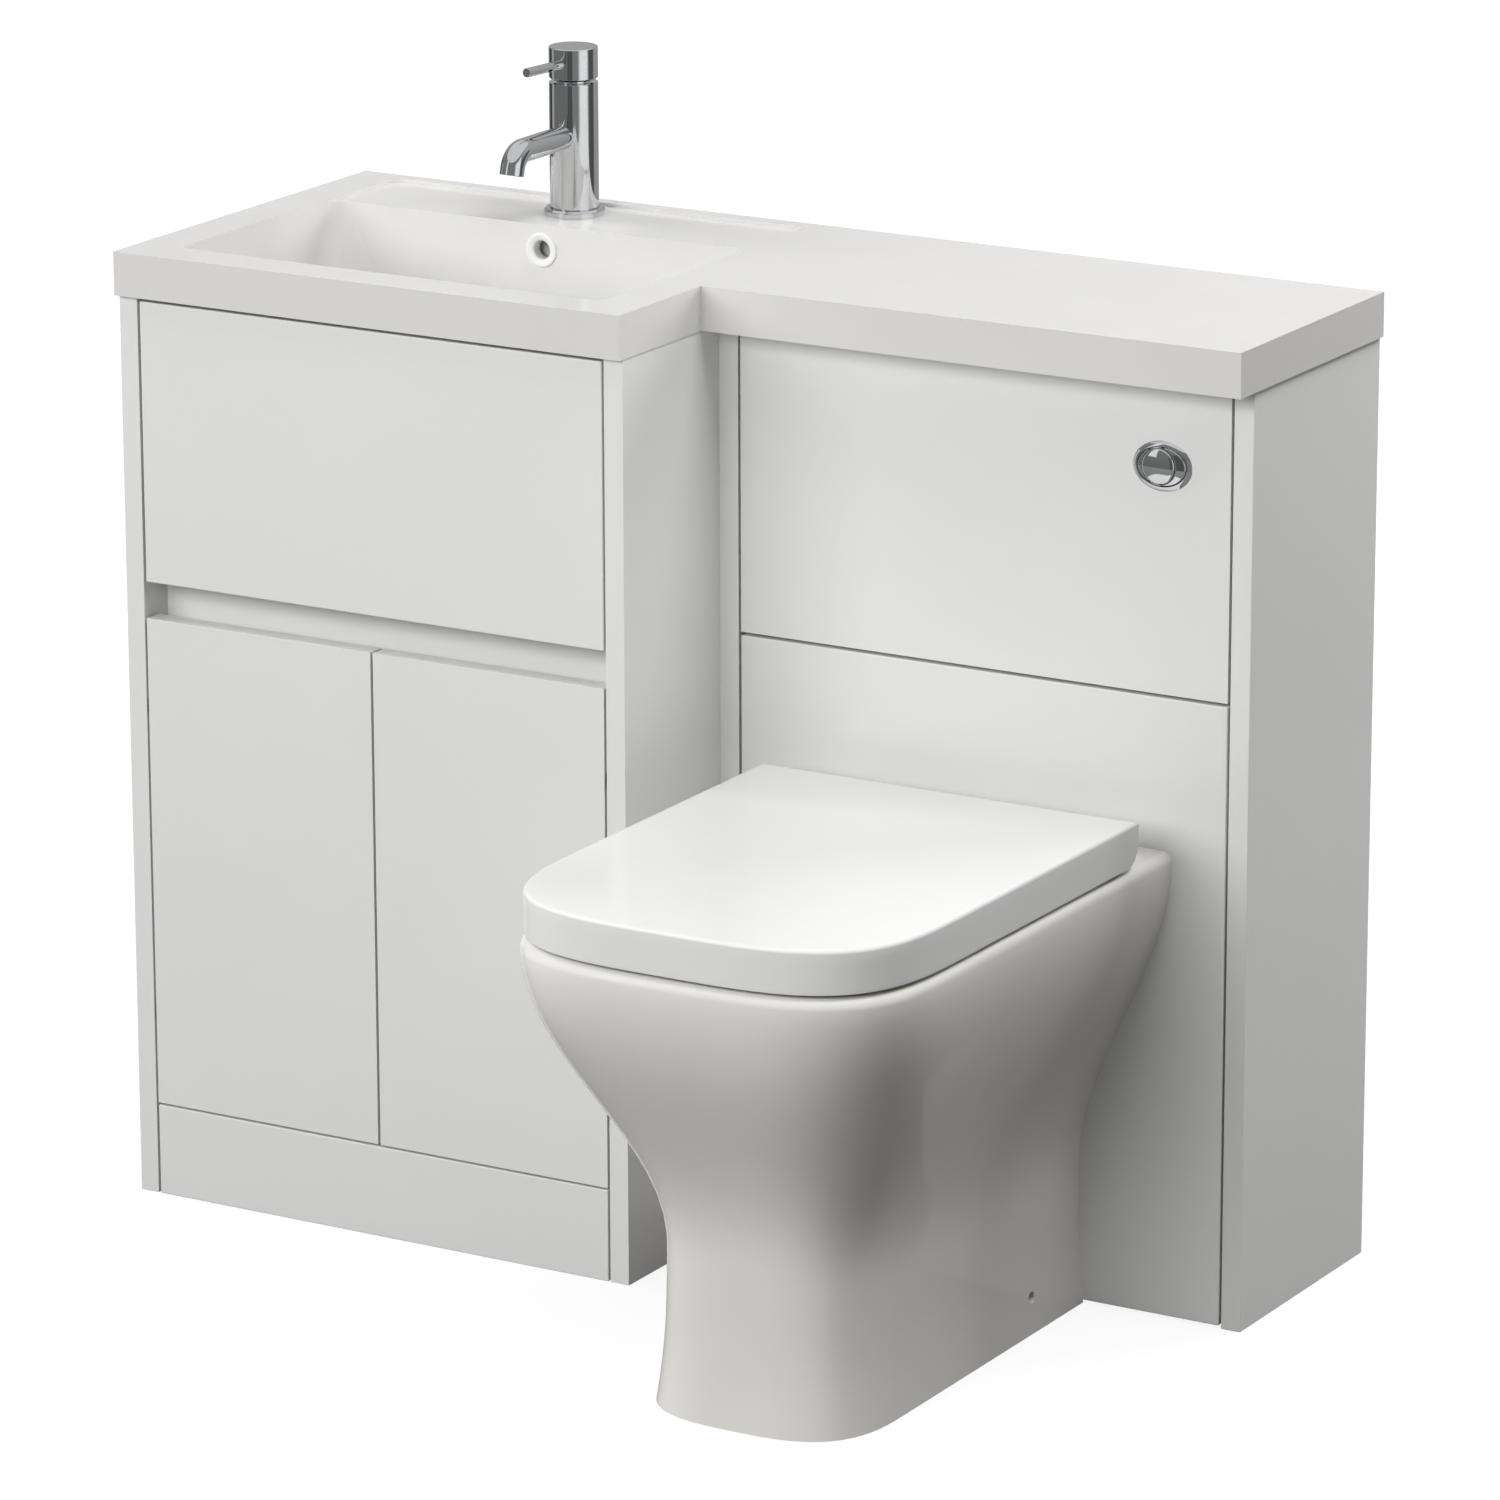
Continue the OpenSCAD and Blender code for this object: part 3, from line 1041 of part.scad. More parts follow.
module cistern_tank() color(plastic_white) place() difference() {
  board([tank_x0, tank_front_y, tank_z], [tank_x1, tank_back_y, tank_top]);
  board([tank_x0 + tank_wall, tank_front_y + tank_wall, tank_floor],
        [tank_x1 - tank_wall, tank_back_y - tank_wall, tank_top + cut]);
  rod_z([wc_x, valve_y, tank_z - cut], valve_tail_r + seat_fit, tank_wall + 2 * cut);
  rod_z([fill_x, valve_y, tank_z - cut], inlet_thread_r + shank_out + seat_fit, tank_wall + 2 * cut);
}
module cistern_cover() color(plastic_white) place() difference() {
  board([tank_x0 - cover_t, tank_front_y - cover_t, tank_top - 8], [tank_x1 + cover_t, tank_back_y, tank_top + cover_t]);
  board([tank_x0 - 0.2, tank_front_y - 0.2, tank_top - 8 - cut], [tank_x1 + 0.2, tank_back_y + cut, tank_top]);
}
module flush_valve() color(plastic_grey) place() {
  difference() {
    union() {
      rod_z([wc_x, valve_y, tank_z - valve_tail_l], valve_tail_r, valve_tail_l + tank_wall + 1);
      rod_z([wc_x, valve_y, tank_floor], cage_r + 6, 4);
      rod_z([wc_x, valve_y, tank_floor], cage_r, cage_h);
    }
    rod_z([wc_x, valve_y, tank_z - valve_tail_l - cut], flush_pipe_d / 2 + seat_fit, valve_tail_l + tank_wall + 4 + 2 * cut);
    rod_z([wc_x, valve_y, tank_floor + 4], cage_r - cage_wall, cage_h - 8);
    rod_z([wc_x, valve_y, tank_floor + 4], tower_r + slack, cage_h);
    for (a = [0, 90]) translate([wc_x, valve_y, tank_floor + 4]) rotate([0, 0, a])
      board([-cage_r - cut, -15, 0], [cage_r + cut, 15, 45]);
  }
  tube_z([wc_x, valve_y, tank_z - 12], valve_tail_r + 9, valve_tail_r + seat_fit, 12);
}
module flush_valve_piston() color(rubber_black) place() difference() {
  union() {
    rod_z([wc_x, valve_y, tank_floor + 4 + slack], piston_r, 6);
    rod_z([wc_x, valve_y, tank_floor + 4 + slack], tower_r, tank_h - tower_top_gap);
  }
  rod_z([wc_x, valve_y, tank_floor], tower_r - 3, tank_h);
}
module fill_valve() color(plastic_grey) place() {
  difference() {
    union() {
      rod_z([fill_x, valve_y, tank_z - fill_tail_l], inlet_thread_r, inlet_free_l + 1);
      rod_z([fill_x, valve_y, tank_z - fill_tail_l + inlet_free_l], inlet_thread_r + shank_out,
            fill_tail_l - inlet_free_l + tank_wall + 1);
      rod_z([fill_x, valve_y, tank_floor], inlet_thread_r + 6, 3);
      rod_z([fill_x, valve_y, tank_floor], fill_r, tank_h - fill_head_h);
      rod_z([fill_x, valve_y, tank_floor + fill_stop_z], fill_r + 5, fill_stop_t);
      rod_z([fill_x, valve_y, tank_top - fill_top_gap - fill_head_h], fill_r + 9, fill_head_h);
    }
    rod_z([fill_x, valve_y, tank_z - fill_tail_l - cut], 5, fill_tail_l + tank_h - fill_head_h);
  }
  tube_z([fill_x, valve_y, tank_z - 9], inlet_thread_r + 7, inlet_thread_r + shank_out + seat_fit, 9);
}
module fill_float() color(plastic_white) place()
  tube_z([fill_x, valve_y, tank_floor + fill_stop_z + fill_stop_t + slack], float_r, fill_r + slack, float_h);
// The flush pipe down from the cistern, an elbow, and the run through the panel into the pan.
elbow_r = 45;
cone_l = 26;
module flush_pipe_path(r, past) {
  top = tank_z - valve_tail_l + 30;
  rod_z([wc_x, valve_y, inlet_z + elbow_r], r, top - inlet_z - elbow_r + past);
  translate([wc_x, valve_y - elbow_r, inlet_z + elbow_r]) rotate([0, 90, 0])
    rotate_extrude(angle = 90) translate([elbow_r, 0]) circle(r = r);
  rod_y([wc_x, wc_front_y - 44 - past, inlet_z], r, valve_y - elbow_r - wc_front_y + 44 + past);
}
module flush_pipe() color(plastic_white) place() {
  difference() {
    flush_pipe_path(flush_pipe_d / 2, 0);
    flush_pipe_path(flush_pipe_d / 2 - 2, cut);
  }
  // the cone that seals it in the pan
  difference() {
    union() {
      rod_y([wc_x, wc_front_y - pan_back_gap - cone_l, inlet_z], inlet_d / 2 - seat_fit, cone_l);
      rod_y([wc_x, wc_front_y - pan_back_gap, inlet_z], inlet_d / 2 + 2, 6);
    }
    rod_y([wc_x, wc_front_y - pan_back_gap - cone_l - cut, inlet_z], flush_pipe_d / 2 + seat_fit, cone_l + 6 + 2 * cut);
  }
}

// ---- Flush plate ----------------------------------------------------------------------------
button_x = cab2_x1 - button_from_side;
bezel_t = 2.5;
barrel_w = bezel_w - 5;
barrel_h = bezel_h - 5;
barrel_l = 30;
barrel_wall = 2;
dome = 5.5;             // how far the buttons stand out of the panel
half_off = 2.6;         // the round button sits left of the plate's middle

// Puts its children on the panel's face, with +z into the cabinet, starting at depth.
module button_place(depth) translate([button_x, wc_front_y, button_z]) rotate([-90, 0, 0])
  translate([0, 0, depth]) children();
// An oval bar along z: two round ends and a straight middle.
module oval(w, h, l) linear_extrude(l) {
  for (s = [-1, 1]) translate([s * (w - h) / 2, 0]) circle(r = h / 2);
  square([w - h, h], center = true);
}
module flush_bezel() color(chrome_grey) place() difference() {
  union() {
    button_place(-bezel_t) oval(bezel_w, bezel_h, bezel_t);
    button_place(-cut / 2) oval(barrel_w - 2 * slack, barrel_h - 2 * slack, barrel_l);
    button_place(board_t) oval(barrel_w + 8, barrel_h + 8, 4);
  }
  button_place(-bezel_t - cut) oval(barrel_w - 2 * barrel_wall, barrel_h - 2 * barrel_wall, bezel_t + cut + barrel_l - 3);
}
full_w = barrel_w - 2 * barrel_wall - 2 * slack;
full_h = barrel_h - 2 * barrel_wall - 2 * slack;
button_l = 14;
module flush_button_full() color(chrome_grey) place() difference() {
  button_place(-dome + 1) oval(full_w, full_h, button_l);
  button_place(-dome - cut) translate([-half_off, 0, 0]) cylinder(r = half_button_d / 2 + slack, h = button_l + dome + 3);
}
module flush_button_half() color(chrome_grey) place() button_place(-dome) translate([-half_off, 0, 0])
  cylinder(r = half_button_d / 2, h = button_l + 1);

basin_side_left();
basin_side_right();
basin_bottom_panel();
basin_back_rails();
handle_rail();
basin_plinth();
plinth_brackets();
shelf();
shelf_pins();
door_left();
door_right();
hinge_pins_left();
hinge_pins_right();
hinge_arms();
drawer_front();
drawer_sides();
drawer_back_wall();
drawer_bottom();
runners_fixed();
runners_moving();
cabinet_bolts();
wc_side_left();
wc_side_right();
wc_access_panel();
wc_lower_panel();
wc_front_rails();
wc_back_rails();
panel_clips();
worktop_basin();
overflow_ring();
basin_waste();
waste_plug();
bottle_trap();
trap_cup();
waste_pipe();
tap_body();
tap_base_ring();
tap_aerator();
tap_cartridge();
cartridge_stem();
tap_head();
tap_lever();
tap_clamp();
pan();
pan_brackets();
pan_connector();
seat_ring();
seat_lid();
seat_hinge_posts();
seat_buffers();
cistern_tank();
cistern_cover();
flush_valve();
flush_valve_piston();
fill_valve();
fill_float();
flush_pipe();
flush_bezel();
flush_button_full();
flush_button_half();
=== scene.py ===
import bpy
import bmesh
import math
from mathutils import Matrix, Vector


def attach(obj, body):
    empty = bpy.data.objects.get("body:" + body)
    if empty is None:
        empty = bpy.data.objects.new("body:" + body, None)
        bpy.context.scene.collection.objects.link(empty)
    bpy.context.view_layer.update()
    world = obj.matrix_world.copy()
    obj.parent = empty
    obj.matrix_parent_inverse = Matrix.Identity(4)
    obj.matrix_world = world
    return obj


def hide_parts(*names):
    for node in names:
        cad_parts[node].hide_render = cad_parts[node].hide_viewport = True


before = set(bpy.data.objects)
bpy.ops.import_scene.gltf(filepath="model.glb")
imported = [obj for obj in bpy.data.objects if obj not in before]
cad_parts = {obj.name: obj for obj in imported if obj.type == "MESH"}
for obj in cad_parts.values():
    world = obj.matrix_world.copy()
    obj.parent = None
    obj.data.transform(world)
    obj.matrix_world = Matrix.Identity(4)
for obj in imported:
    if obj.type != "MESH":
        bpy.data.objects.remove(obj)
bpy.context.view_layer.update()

# ---------------------------------------------------------------------------------------------
# The camera stands in front of the unit, to its right and well above the worktop, a good six metres
# away with a long lens. Its place was solved from the corners of the worktop and the cabinets.
aim = Vector((0.11025, 0.0, 0.48167))
camera_turn, camera_rise, camera_roll = (math.radians(angle) for angle in (30.41, 15.859, -0.143))
camera_distance = 6.3431
photo_width, focal_length = 1500, 7729.8  # in pixels of the photograph
away = Vector((math.sin(camera_turn) * math.cos(camera_rise),
               -math.cos(camera_turn) * math.cos(camera_rise),
               math.sin(camera_rise)))
camera = bpy.data.objects.new("camera", bpy.data.cameras.new("camera"))
bpy.context.scene.collection.objects.link(camera)
camera.data.sensor_width = 36.0
camera.data.lens = camera.data.sensor_width * focal_length / photo_width
camera.data.clip_end = 100.0
camera.location = aim + away * camera_distance
camera.rotation_mode = "QUATERNION"
camera.rotation_quaternion = ((-away).to_track_quat("-Z", "Y").to_matrix()
                              @ Matrix.Rotation(camera_roll, 3, "Z")).to_quaternion()
bpy.context.scene.camera = camera
bpy.context.scene.view_settings.view_transform = "Standard"


# ---------------------------------------------------------------------------------------------
# The studio: a painted floor that shows white and keeps the unit's soft shadow, before a white
# surround. Gloss sees hardly any of the floor and most of the surround.
def srgb(code):
    """A hex colour as the linear numbers that a shader takes."""
    parts = [int(code[i:i + 2], 16) / 255 for i in (1, 3, 5)]
    return [p / 12.92 if p <= 0.04045 else ((p + 0.055) / 1.055) ** 2.4 for p in parts] + [1.0]


def add(material, kind, values=None, **settings):
    """Adds a node with its settings, and sets or links its inputs."""
    node = material.node_tree.nodes.new(kind)
    for name, value in settings.items():
        setattr(node, name, value)
    for name, value in (values or {}).items():
        if isinstance(value, bpy.types.NodeSocket):
            material.node_tree.links.new(value, node.inputs[name])
        else:
            node.inputs[name].default_value = value
    return node


def blank(name):
    """A material with nothing in it yet."""
    material = bpy.data.materials.new(name)
    material.use_nodes = True
    material.node_tree.nodes.clear()
    return material


def join(bm, name, material=None):
    """Makes an object of a closed bmesh, at the origin, with its faces smooth and pointing out."""
    bmesh.ops.recalc_face_normals(bm, faces=bm.faces)
    mesh = bpy.data.meshes.new(name)
    for face in bm.faces:
        face.smooth = True
    bm.to_mesh(mesh)
    bm.free()
    obj = bpy.data.objects.new(name, mesh)
    bpy.context.scene.collection.objects.link(obj)
    if material is not None:
        mesh.materials.append(material)
    return obj


def seen(surface, in_gloss):
    """How much a ray sees of the floor or the surround: all of it from the camera, a share in gloss."""
    ray = add(surface, "ShaderNodeLightPath").outputs
    share = add(surface, "ShaderNodeMath", {0: ray["Is Glossy Ray"], 1: in_gloss}, operation="MULTIPLY")
    for kind in ("Is Camera Ray", "Is Transmission Ray"):
        share = add(surface, "ShaderNodeMath", {0: share.outputs[0], 1: ray[kind]}, operation="MAXIMUM")
    return share.outputs[0]


floor_radius = 30.0
floor_paint = blank("studio_floor_paint")
spot = add(floor_paint, "ShaderNodeTexCoord").outputs["Object"]
reach = add(floor_paint, "ShaderNodeVectorMath", {0: spot}, operation="LENGTH").outputs["Value"]
glow = add(floor_paint, "ShaderNodeMapRange", {"Value": reach, "From Min": 0.7, "From Max": 2.4,
                                               "To Min": 0.86, "To Max": 1.0}).outputs["Result"]
glow = add(floor_paint, "ShaderNodeMath", {0: glow, 1: seen(floor_paint, 0.08)},
           operation="MULTIPLY").outputs[0]
glow = add(floor_paint, "ShaderNodeEmission", {"Color": srgb("#FFFFFF"), "Strength": glow})
lit = add(floor_paint, "ShaderNodeBsdfDiffuse", {"Color": srgb("#6A6A6A")})
paint = add(floor_paint, "ShaderNodeAddShader", {0: lit.outputs[0], 1: glow.outputs[0]})
add(floor_paint, "ShaderNodeOutputMaterial", {"Surface": paint.outputs[0]})
bm = bmesh.new()
bmesh.ops.create_circle(bm, cap_ends=True, segments=96, radius=floor_radius)
floor = join(bm, "studio_floor", floor_paint)

world = bpy.data.worlds.new("studio_surround")
bpy.context.scene.world = world
world.use_nodes = True
world.node_tree.nodes.clear()
fill = add(world, "ShaderNodeBackground", {"Color": srgb("#FFFFFF"), "Strength": 0.08})
bright = add(world, "ShaderNodeBackground", {"Color": srgb("#FFFFFF"), "Strength": 1.0})
both = add(world, "ShaderNodeMixShader", {0: seen(world, 0.7), 1: fill.outputs[0], 2: bright.outputs[0]})
add(world, "ShaderNodeOutputWorld", {"Surface": both.outputs[0]})


# ---------------------------------------------------------------------------------------------
# Round the unit hangs a grey curtain, lighter behind it, with flags and cards before the curtain.
# Only gloss sees them: they draw the bands of light and dark that tell the form of the chrome.
def let_glow(material, strength):
    """Lets a screen's cloth or paper glow with an even or a worked out strength."""
    light = add(material, "ShaderNodeEmission", {"Color": srgb("#FFFFFF"), "Strength": strength})
    add(material, "ShaderNodeOutputMaterial", {"Surface": light.outputs[0]})


def screen(name, material, start, sweep, radius, low, high):
    """A curved screen round the unit, from so many degrees right of the front, that only gloss sees."""
    bm = bmesh.new()
    turn = math.radians(start)
    foot = bm.verts.new((radius * math.sin(turn), -radius * math.cos(turn), low))
    head = bm.verts.new((radius * math.sin(turn), -radius * math.cos(turn), high))
    edge = bm.edges.new((foot, head))
    bmesh.ops.spin(bm, geom=[foot, head, edge], cent=(0, 0, 0), axis=(0, 0, 1), angle=math.radians(sweep),
                   steps=round(sweep / 3), use_duplicate=False)
    obj = join(bm, name, material)
    obj.visible_camera = obj.visible_diffuse = obj.visible_transmission = False
    obj.visible_volume_scatter = obj.visible_shadow = False


above_floor = 0.001
curtain_radius, curtain_top = 2.3, 2.6
curtain_cloth = blank("grey_curtain")
spot = add(curtain_cloth, "ShaderNodeTexCoord").outputs["Object"]
spot = add(curtain_cloth, "ShaderNodeSeparateXYZ", {0: spot}).outputs
upward = add(curtain_cloth, "ShaderNodeMapRange", {"Value": spot["Z"], "From Min": 0.2, "From Max": 1.7,
                                                   "To Min": 0.16, "To Max": 0.22}).outputs["Result"]
behind = add(curtain_cloth, "ShaderNodeMapRange", {"Value": spot["Y"], "From Min": 0.0, "From Max": 1.8,
                                                   "To Min": 1.0, "To Max": 2.0}).outputs["Result"]
tone = add(curtain_cloth, "ShaderNodeMath", {0: upward, 1: behind}, operation="MULTIPLY").outputs[0]
let_glow(curtain_cloth, tone)
screen("grey_curtain", curtain_cloth, 0.0, 360.0, curtain_radius, above_floor, curtain_top)

# Flags and even cards: strength, first angle, sweep, lower and upper edge.
flag_radius, flag_top = 2.25, 1.3
for name, strength, start, sweep, low, high in (
        ("flag_right", 0.09, 116.0, 32.0, above_floor, flag_top),
        ("flag_front", 0.09, -2.0, 27.0, above_floor, flag_top),
        ("flag_left", 0.06, -119.0, 22.0, above_floor, flag_top),
        ("grey_card_front", 0.23, 25.0, 32.0, above_floor, flag_top),
        ("grey_card_left", 0.4, -97.0, 16.0, above_floor, flag_top),
        ("white_card_left", 0.9, -38.0, 14.0, 0.9, curtain_top)):
    card = blank(name)
    let_glow(card, strength)
    screen(name, card, start, sweep, flag_radius, low, high)

# The large white card on the right falls off to grey at both its ends.
card_radius, card_top, card_strength = 2.2, 1.9, 0.95
card = blank("white_card_right")
spot = add(card, "ShaderNodeTexCoord").outputs["Object"]
depth = add(card, "ShaderNodeSeparateXYZ", {0: spot}).outputs["Y"]
front_end = add(card, "ShaderNodeMapRange", {"Value": depth, "From Min": -1.26, "From Max": -0.8,
                                             "To Min": 0.25, "To Max": card_strength}).outputs["Result"]
back_end = add(card, "ShaderNodeMapRange", {"Value": depth, "From Min": 0.55, "From Max": 1.0,
                                            "To Min": card_strength, "To Max": 0.2}).outputs["Result"]
tone = add(card, "ShaderNodeMath", {0: front_end, 1: back_end}, operation="MINIMUM").outputs[0]
let_glow(card, tone)
screen("white_card_right", card, 55.0, 63.0, card_radius, above_floor, card_top)

# ---------------------------------------------------------------------------------------------
# Five square lamps with soft cloth before them stand and hang round the unit, aimed at its middle.
# Their powers were balanced until each face of the unit had its tone in the photograph.
lamp_width = 2.0
lamp_aim = Vector((0.0, 0.0, 0.45))
for name, place, power in (("front_lamp", Vector((0.0, -4.08, 2.35)), 101.0),
                           ("front_left_lamp", Vector((-2.04, -3.53, 2.35)), 66.0),
                           ("left_lamp", Vector((-3.9, 0.0, 2.7)), 104.0),
                           ("high_right_lamp", Vector((2.25, 0.0, 4.35)), 104.0),
                           ("back_right_lamp", Vector((1.52, 2.62, 2.2)), 78.0)):
    light = bpy.data.lights.new(name, "AREA")
    light.shape, light.size, light.energy = "SQUARE", lamp_width, power
    lamp = bpy.data.objects.new(name, light)
    bpy.context.scene.collection.objects.link(lamp)
    lamp.location = place
    lamp.rotation_mode = "QUATERNION"
    lamp.rotation_quaternion = (lamp_aim - place).to_track_quat("-Z", "Y")
    lamp.visible_glossy = False


# ---------------------------------------------------------------------------------------------
# Cabinet sides, plinth, handle rail and shelf: 18 mm boards wrapped in a white gloss foil that is
# pressed on under heat. The foil turns over each edge with a small radius and hides the core.
def soften(obj, ease, steps=3, angle=35.0):
    """Rounds the sharp edges of a piece by so many mm, and keeps its flats flat."""
    edge = obj.modifiers.new("eased_edges", "BEVEL")
    edge.width, edge.segments, edge.profile = ease / 1000, steps, 0.5
    edge.limit_method, edge.angle_limit = "ANGLE", math.radians(angle)
    edge.miter_outer = "MITER_ARC"
    edge.harden_normals = True
    flats = obj.modifiers.new("flat_flats", "WEIGHTED_NORMAL")
    flats.keep_sharp = True


def piece(node, body, material, ease=0.0, smooth=35.0, steps=3):
    """A copy of a CAD node with its triangles merged into faces, and its sharp edges eased by so many mm."""
    bm = bmesh.new()
    bm.from_mesh(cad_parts[node].data)
    bmesh.ops.remove_doubles(bm, verts=bm.verts, dist=0.00001)
    bmesh.ops.dissolve_limit(bm, angle_limit=math.radians(0.6), verts=bm.verts, edges=bm.edges)
    for face in bm.faces:
        face.smooth = True
    mesh = bpy.data.meshes.new(node + "_finished")
    bm.to_mesh(mesh)
    bm.free()
    mesh.set_sharp_from_angle(angle=math.radians(smooth))
    mesh.materials.append(material)
    obj = bpy.data.objects.new(node + "_finished", mesh)
    bpy.context.scene.collection.objects.link(obj)
    if ease:
        soften(obj, ease, steps, smooth)
    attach(obj, body)
    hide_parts(node)
    return obj


# Gloss PET foil on board: almost a mirror at a low angle, with the faint orange peel of the press,
# about 5 mm from crest to crest, which breaks up long reflections, and a cloudy tone of the core.
gloss_foil = blank("pressed_gloss_foil")
spot = add(gloss_foil, "ShaderNodeTexCoord").outputs["Object"]
peel = add(gloss_foil, "ShaderNodeTexNoise", {"Vector": spot, "Scale": 1000 / 5, "Detail": 2.0}).outputs[0]
cloud = add(gloss_foil, "ShaderNodeTexNoise", {"Vector": spot, "Scale": 1000 / 180, "Detail": 2.0}).outputs[0]
tone = add(gloss_foil, "ShaderNodeMix", {"Factor": cloud, 6: srgb("#E2E2E1"), 7: srgb("#E7E7E6")},
           data_type="RGBA").outputs[2]
shine = add(gloss_foil, "ShaderNodeMapRange", {"Value": peel, "To Min": 0.15, "To Max": 0.23}).outputs[0]
relief = add(gloss_foil, "ShaderNodeBump", {"Height": peel, "Distance": 0.006 / 1000}).outputs[0]
skin = add(gloss_foil, "ShaderNodeBsdfPrincipled", {"Base Color": tone, "Roughness": shine, "IOR": 1.5,
                                                    "Normal": relief})
add(gloss_foil, "ShaderNodeOutputMaterial", {"Surface": skin.outputs[0]})

for node in ("basin_side_left", "basin_side_right", "handle_rail", "basin_plinth", "shelf",
             "wc_side_left", "wc_side_right"):
    piece(node, "cabinet", gloss_foil, ease=0.8)

# ---------------------------------------------------------------------------------------------
# The drawer front, the two doors and the two panels before the cistern are the same board, but
# their edges are turned over a slightly larger radius, because hands touch them.
for node, body in (("drawer_front", "drawer"), ("door_left", "left_door"), ("door_right", "right_door"),
                   ("wc_access_panel", "cabinet"), ("wc_lower_panel", "cabinet")):
    piece(node, body, gloss_foil, ease=1.2)

# ---------------------------------------------------------------------------------------------
# The carcass inside is white melamine faced chipboard with a fine pearl texture. Rails, bottoms
# and drawer boxes are cut from it and joined with dowels.
melamine = blank("pearl_melamine")
spot = add(melamine, "ShaderNodeTexCoord").outputs["Object"]
pearl = add(melamine, "ShaderNodeTexNoise", {"Vector": spot, "Scale": 1000 / 1.6, "Detail": 3.0}).outputs[0]
tone = add(melamine, "ShaderNodeMix", {"Factor": pearl, 6: srgb("#DCDCDA"), 7: srgb("#E5E5E3")},
           data_type="RGBA").outputs[2]
shine = add(melamine, "ShaderNodeMapRange", {"Value": pearl, "To Min": 0.42, "To Max": 0.56}).outputs[0]
relief = add(melamine, "ShaderNodeBump", {"Height": pearl, "Distance": 0.02 / 1000}).outputs[0]
skin = add(melamine, "ShaderNodeBsdfPrincipled", {"Base Color": tone, "Roughness": shine, "IOR": 1.5,
                                                  "Normal": relief})
add(melamine, "ShaderNodeOutputMaterial", {"Surface": skin.outputs[0]})

for node, body in (("basin_bottom_panel", "cabinet"), ("basin_back_rails", "cabinet"),
                   ("wc_front_rails", "cabinet"), ("wc_back_rails", "cabinet"), ("drawer_sides", "drawer"),
                   ("drawer_back_wall", "drawer"), ("drawer_bottom", "drawer")):
    piece(node, body, melamine, ease=0.4, steps=2)

# ---------------------------------------------------------------------------------------------
# Hinges, runners, shelf pins and bolts are pressed and turned mild steel with bright zinc plate,
# screwed to the boards. Zinc keeps a faint spangle, drawn out along the way it was rolled.
zinc = blank("bright_zinc_plate")
spot = add(zinc, "ShaderNodeTexCoord").outputs["Object"]
drawn = add(zinc, "ShaderNodeMapping", {"Vector": spot, "Scale": (1.0, 0.35, 1.0)}).outputs[0]
spangle = add(zinc, "ShaderNodeTexNoise", {"Vector": drawn, "Scale": 1000 / 2.5, "Detail": 4.0}).outputs[0]
tone = add(zinc, "ShaderNodeMix", {"Factor": spangle, 6: srgb("#B2B5B9"), 7: srgb("#C8CBCE")},
           data_type="RGBA").outputs[2]
shine = add(zinc, "ShaderNodeMapRange", {"Value": spangle, "To Min": 0.26, "To Max": 0.42}).outputs[0]
skin = add(zinc, "ShaderNodeBsdfPrincipled", {"Base Color": tone, "Metallic": 1.0, "Roughness": shine})
add(zinc, "ShaderNodeOutputMaterial", {"Surface": skin.outputs[0]})

for node, body in (("shelf_pins", "cabinet"), ("hinge_arms", "cabinet"), ("runners_fixed", "cabinet"),
                   ("cabinet_bolts", "cabinet"), ("tap_clamp", "cabinet"), ("seat_hinge_posts", "cabinet"),
                   ("runners_moving", "drawer"), ("hinge_pins_left", "left_door"),
                   ("hinge_pins_right", "right_door"), ("cartridge_stem", "tap_stem")):
    piece(node, body, zinc, ease=0.25, steps=2)

# ---------------------------------------------------------------------------------------------
# Brackets, clips, the trap, the pipes and the cistern's tank are white polypropylene, moulded with
# a fine spark-eroded texture and pushed or screwed together. It lets a little light in.
polypropylene = blank("moulded_polypropylene")
spot = add(polypropylene, "ShaderNodeTexCoord").outputs["Object"]
spark = add(polypropylene, "ShaderNodeTexNoise", {"Vector": spot, "Scale": 1000 / 1.0,
                                                  "Detail": 3.0}).outputs[0]
flow = add(polypropylene, "ShaderNodeTexNoise", {"Vector": spot, "Scale": 1000 / 60,
                                                 "Detail": 2.0}).outputs[0]
tone = add(polypropylene, "ShaderNodeMix", {"Factor": flow, 6: srgb("#E0E0DC"), 7: srgb("#E8E8E5")},
           data_type="RGBA").outputs[2]
shine = add(polypropylene, "ShaderNodeMapRange", {"Value": spark, "To Min": 0.34, "To Max": 0.46}).outputs[0]
relief = add(polypropylene, "ShaderNodeBump", {"Height": spark, "Distance": 0.015 / 1000}).outputs[0]
skin = add(polypropylene, "ShaderNodeBsdfPrincipled", {
    "Base Color": tone, "Roughness": shine, "IOR": 1.49, "Subsurface Weight": 0.05,
    "Subsurface Radius": (0.002, 0.002, 0.002), "Normal": relief})
add(polypropylene, "ShaderNodeOutputMaterial", {"Surface": skin.outputs[0]})

for node, body in (("plinth_brackets", "cabinet"), ("panel_clips", "cabinet"), ("bottle_trap", "cabinet"),
                   ("trap_cup", "cabinet"), ("waste_pipe", "cabinet"), ("pan_brackets", "cabinet"),
                   ("pan_connector", "cabinet"), ("cistern_tank", "cabinet"), ("cistern_cover", "cabinet"),
                   ("flush_pipe", "cabinet"), ("fill_float", "float")):
    piece(node, body, polypropylene, ease=0.5, steps=2)

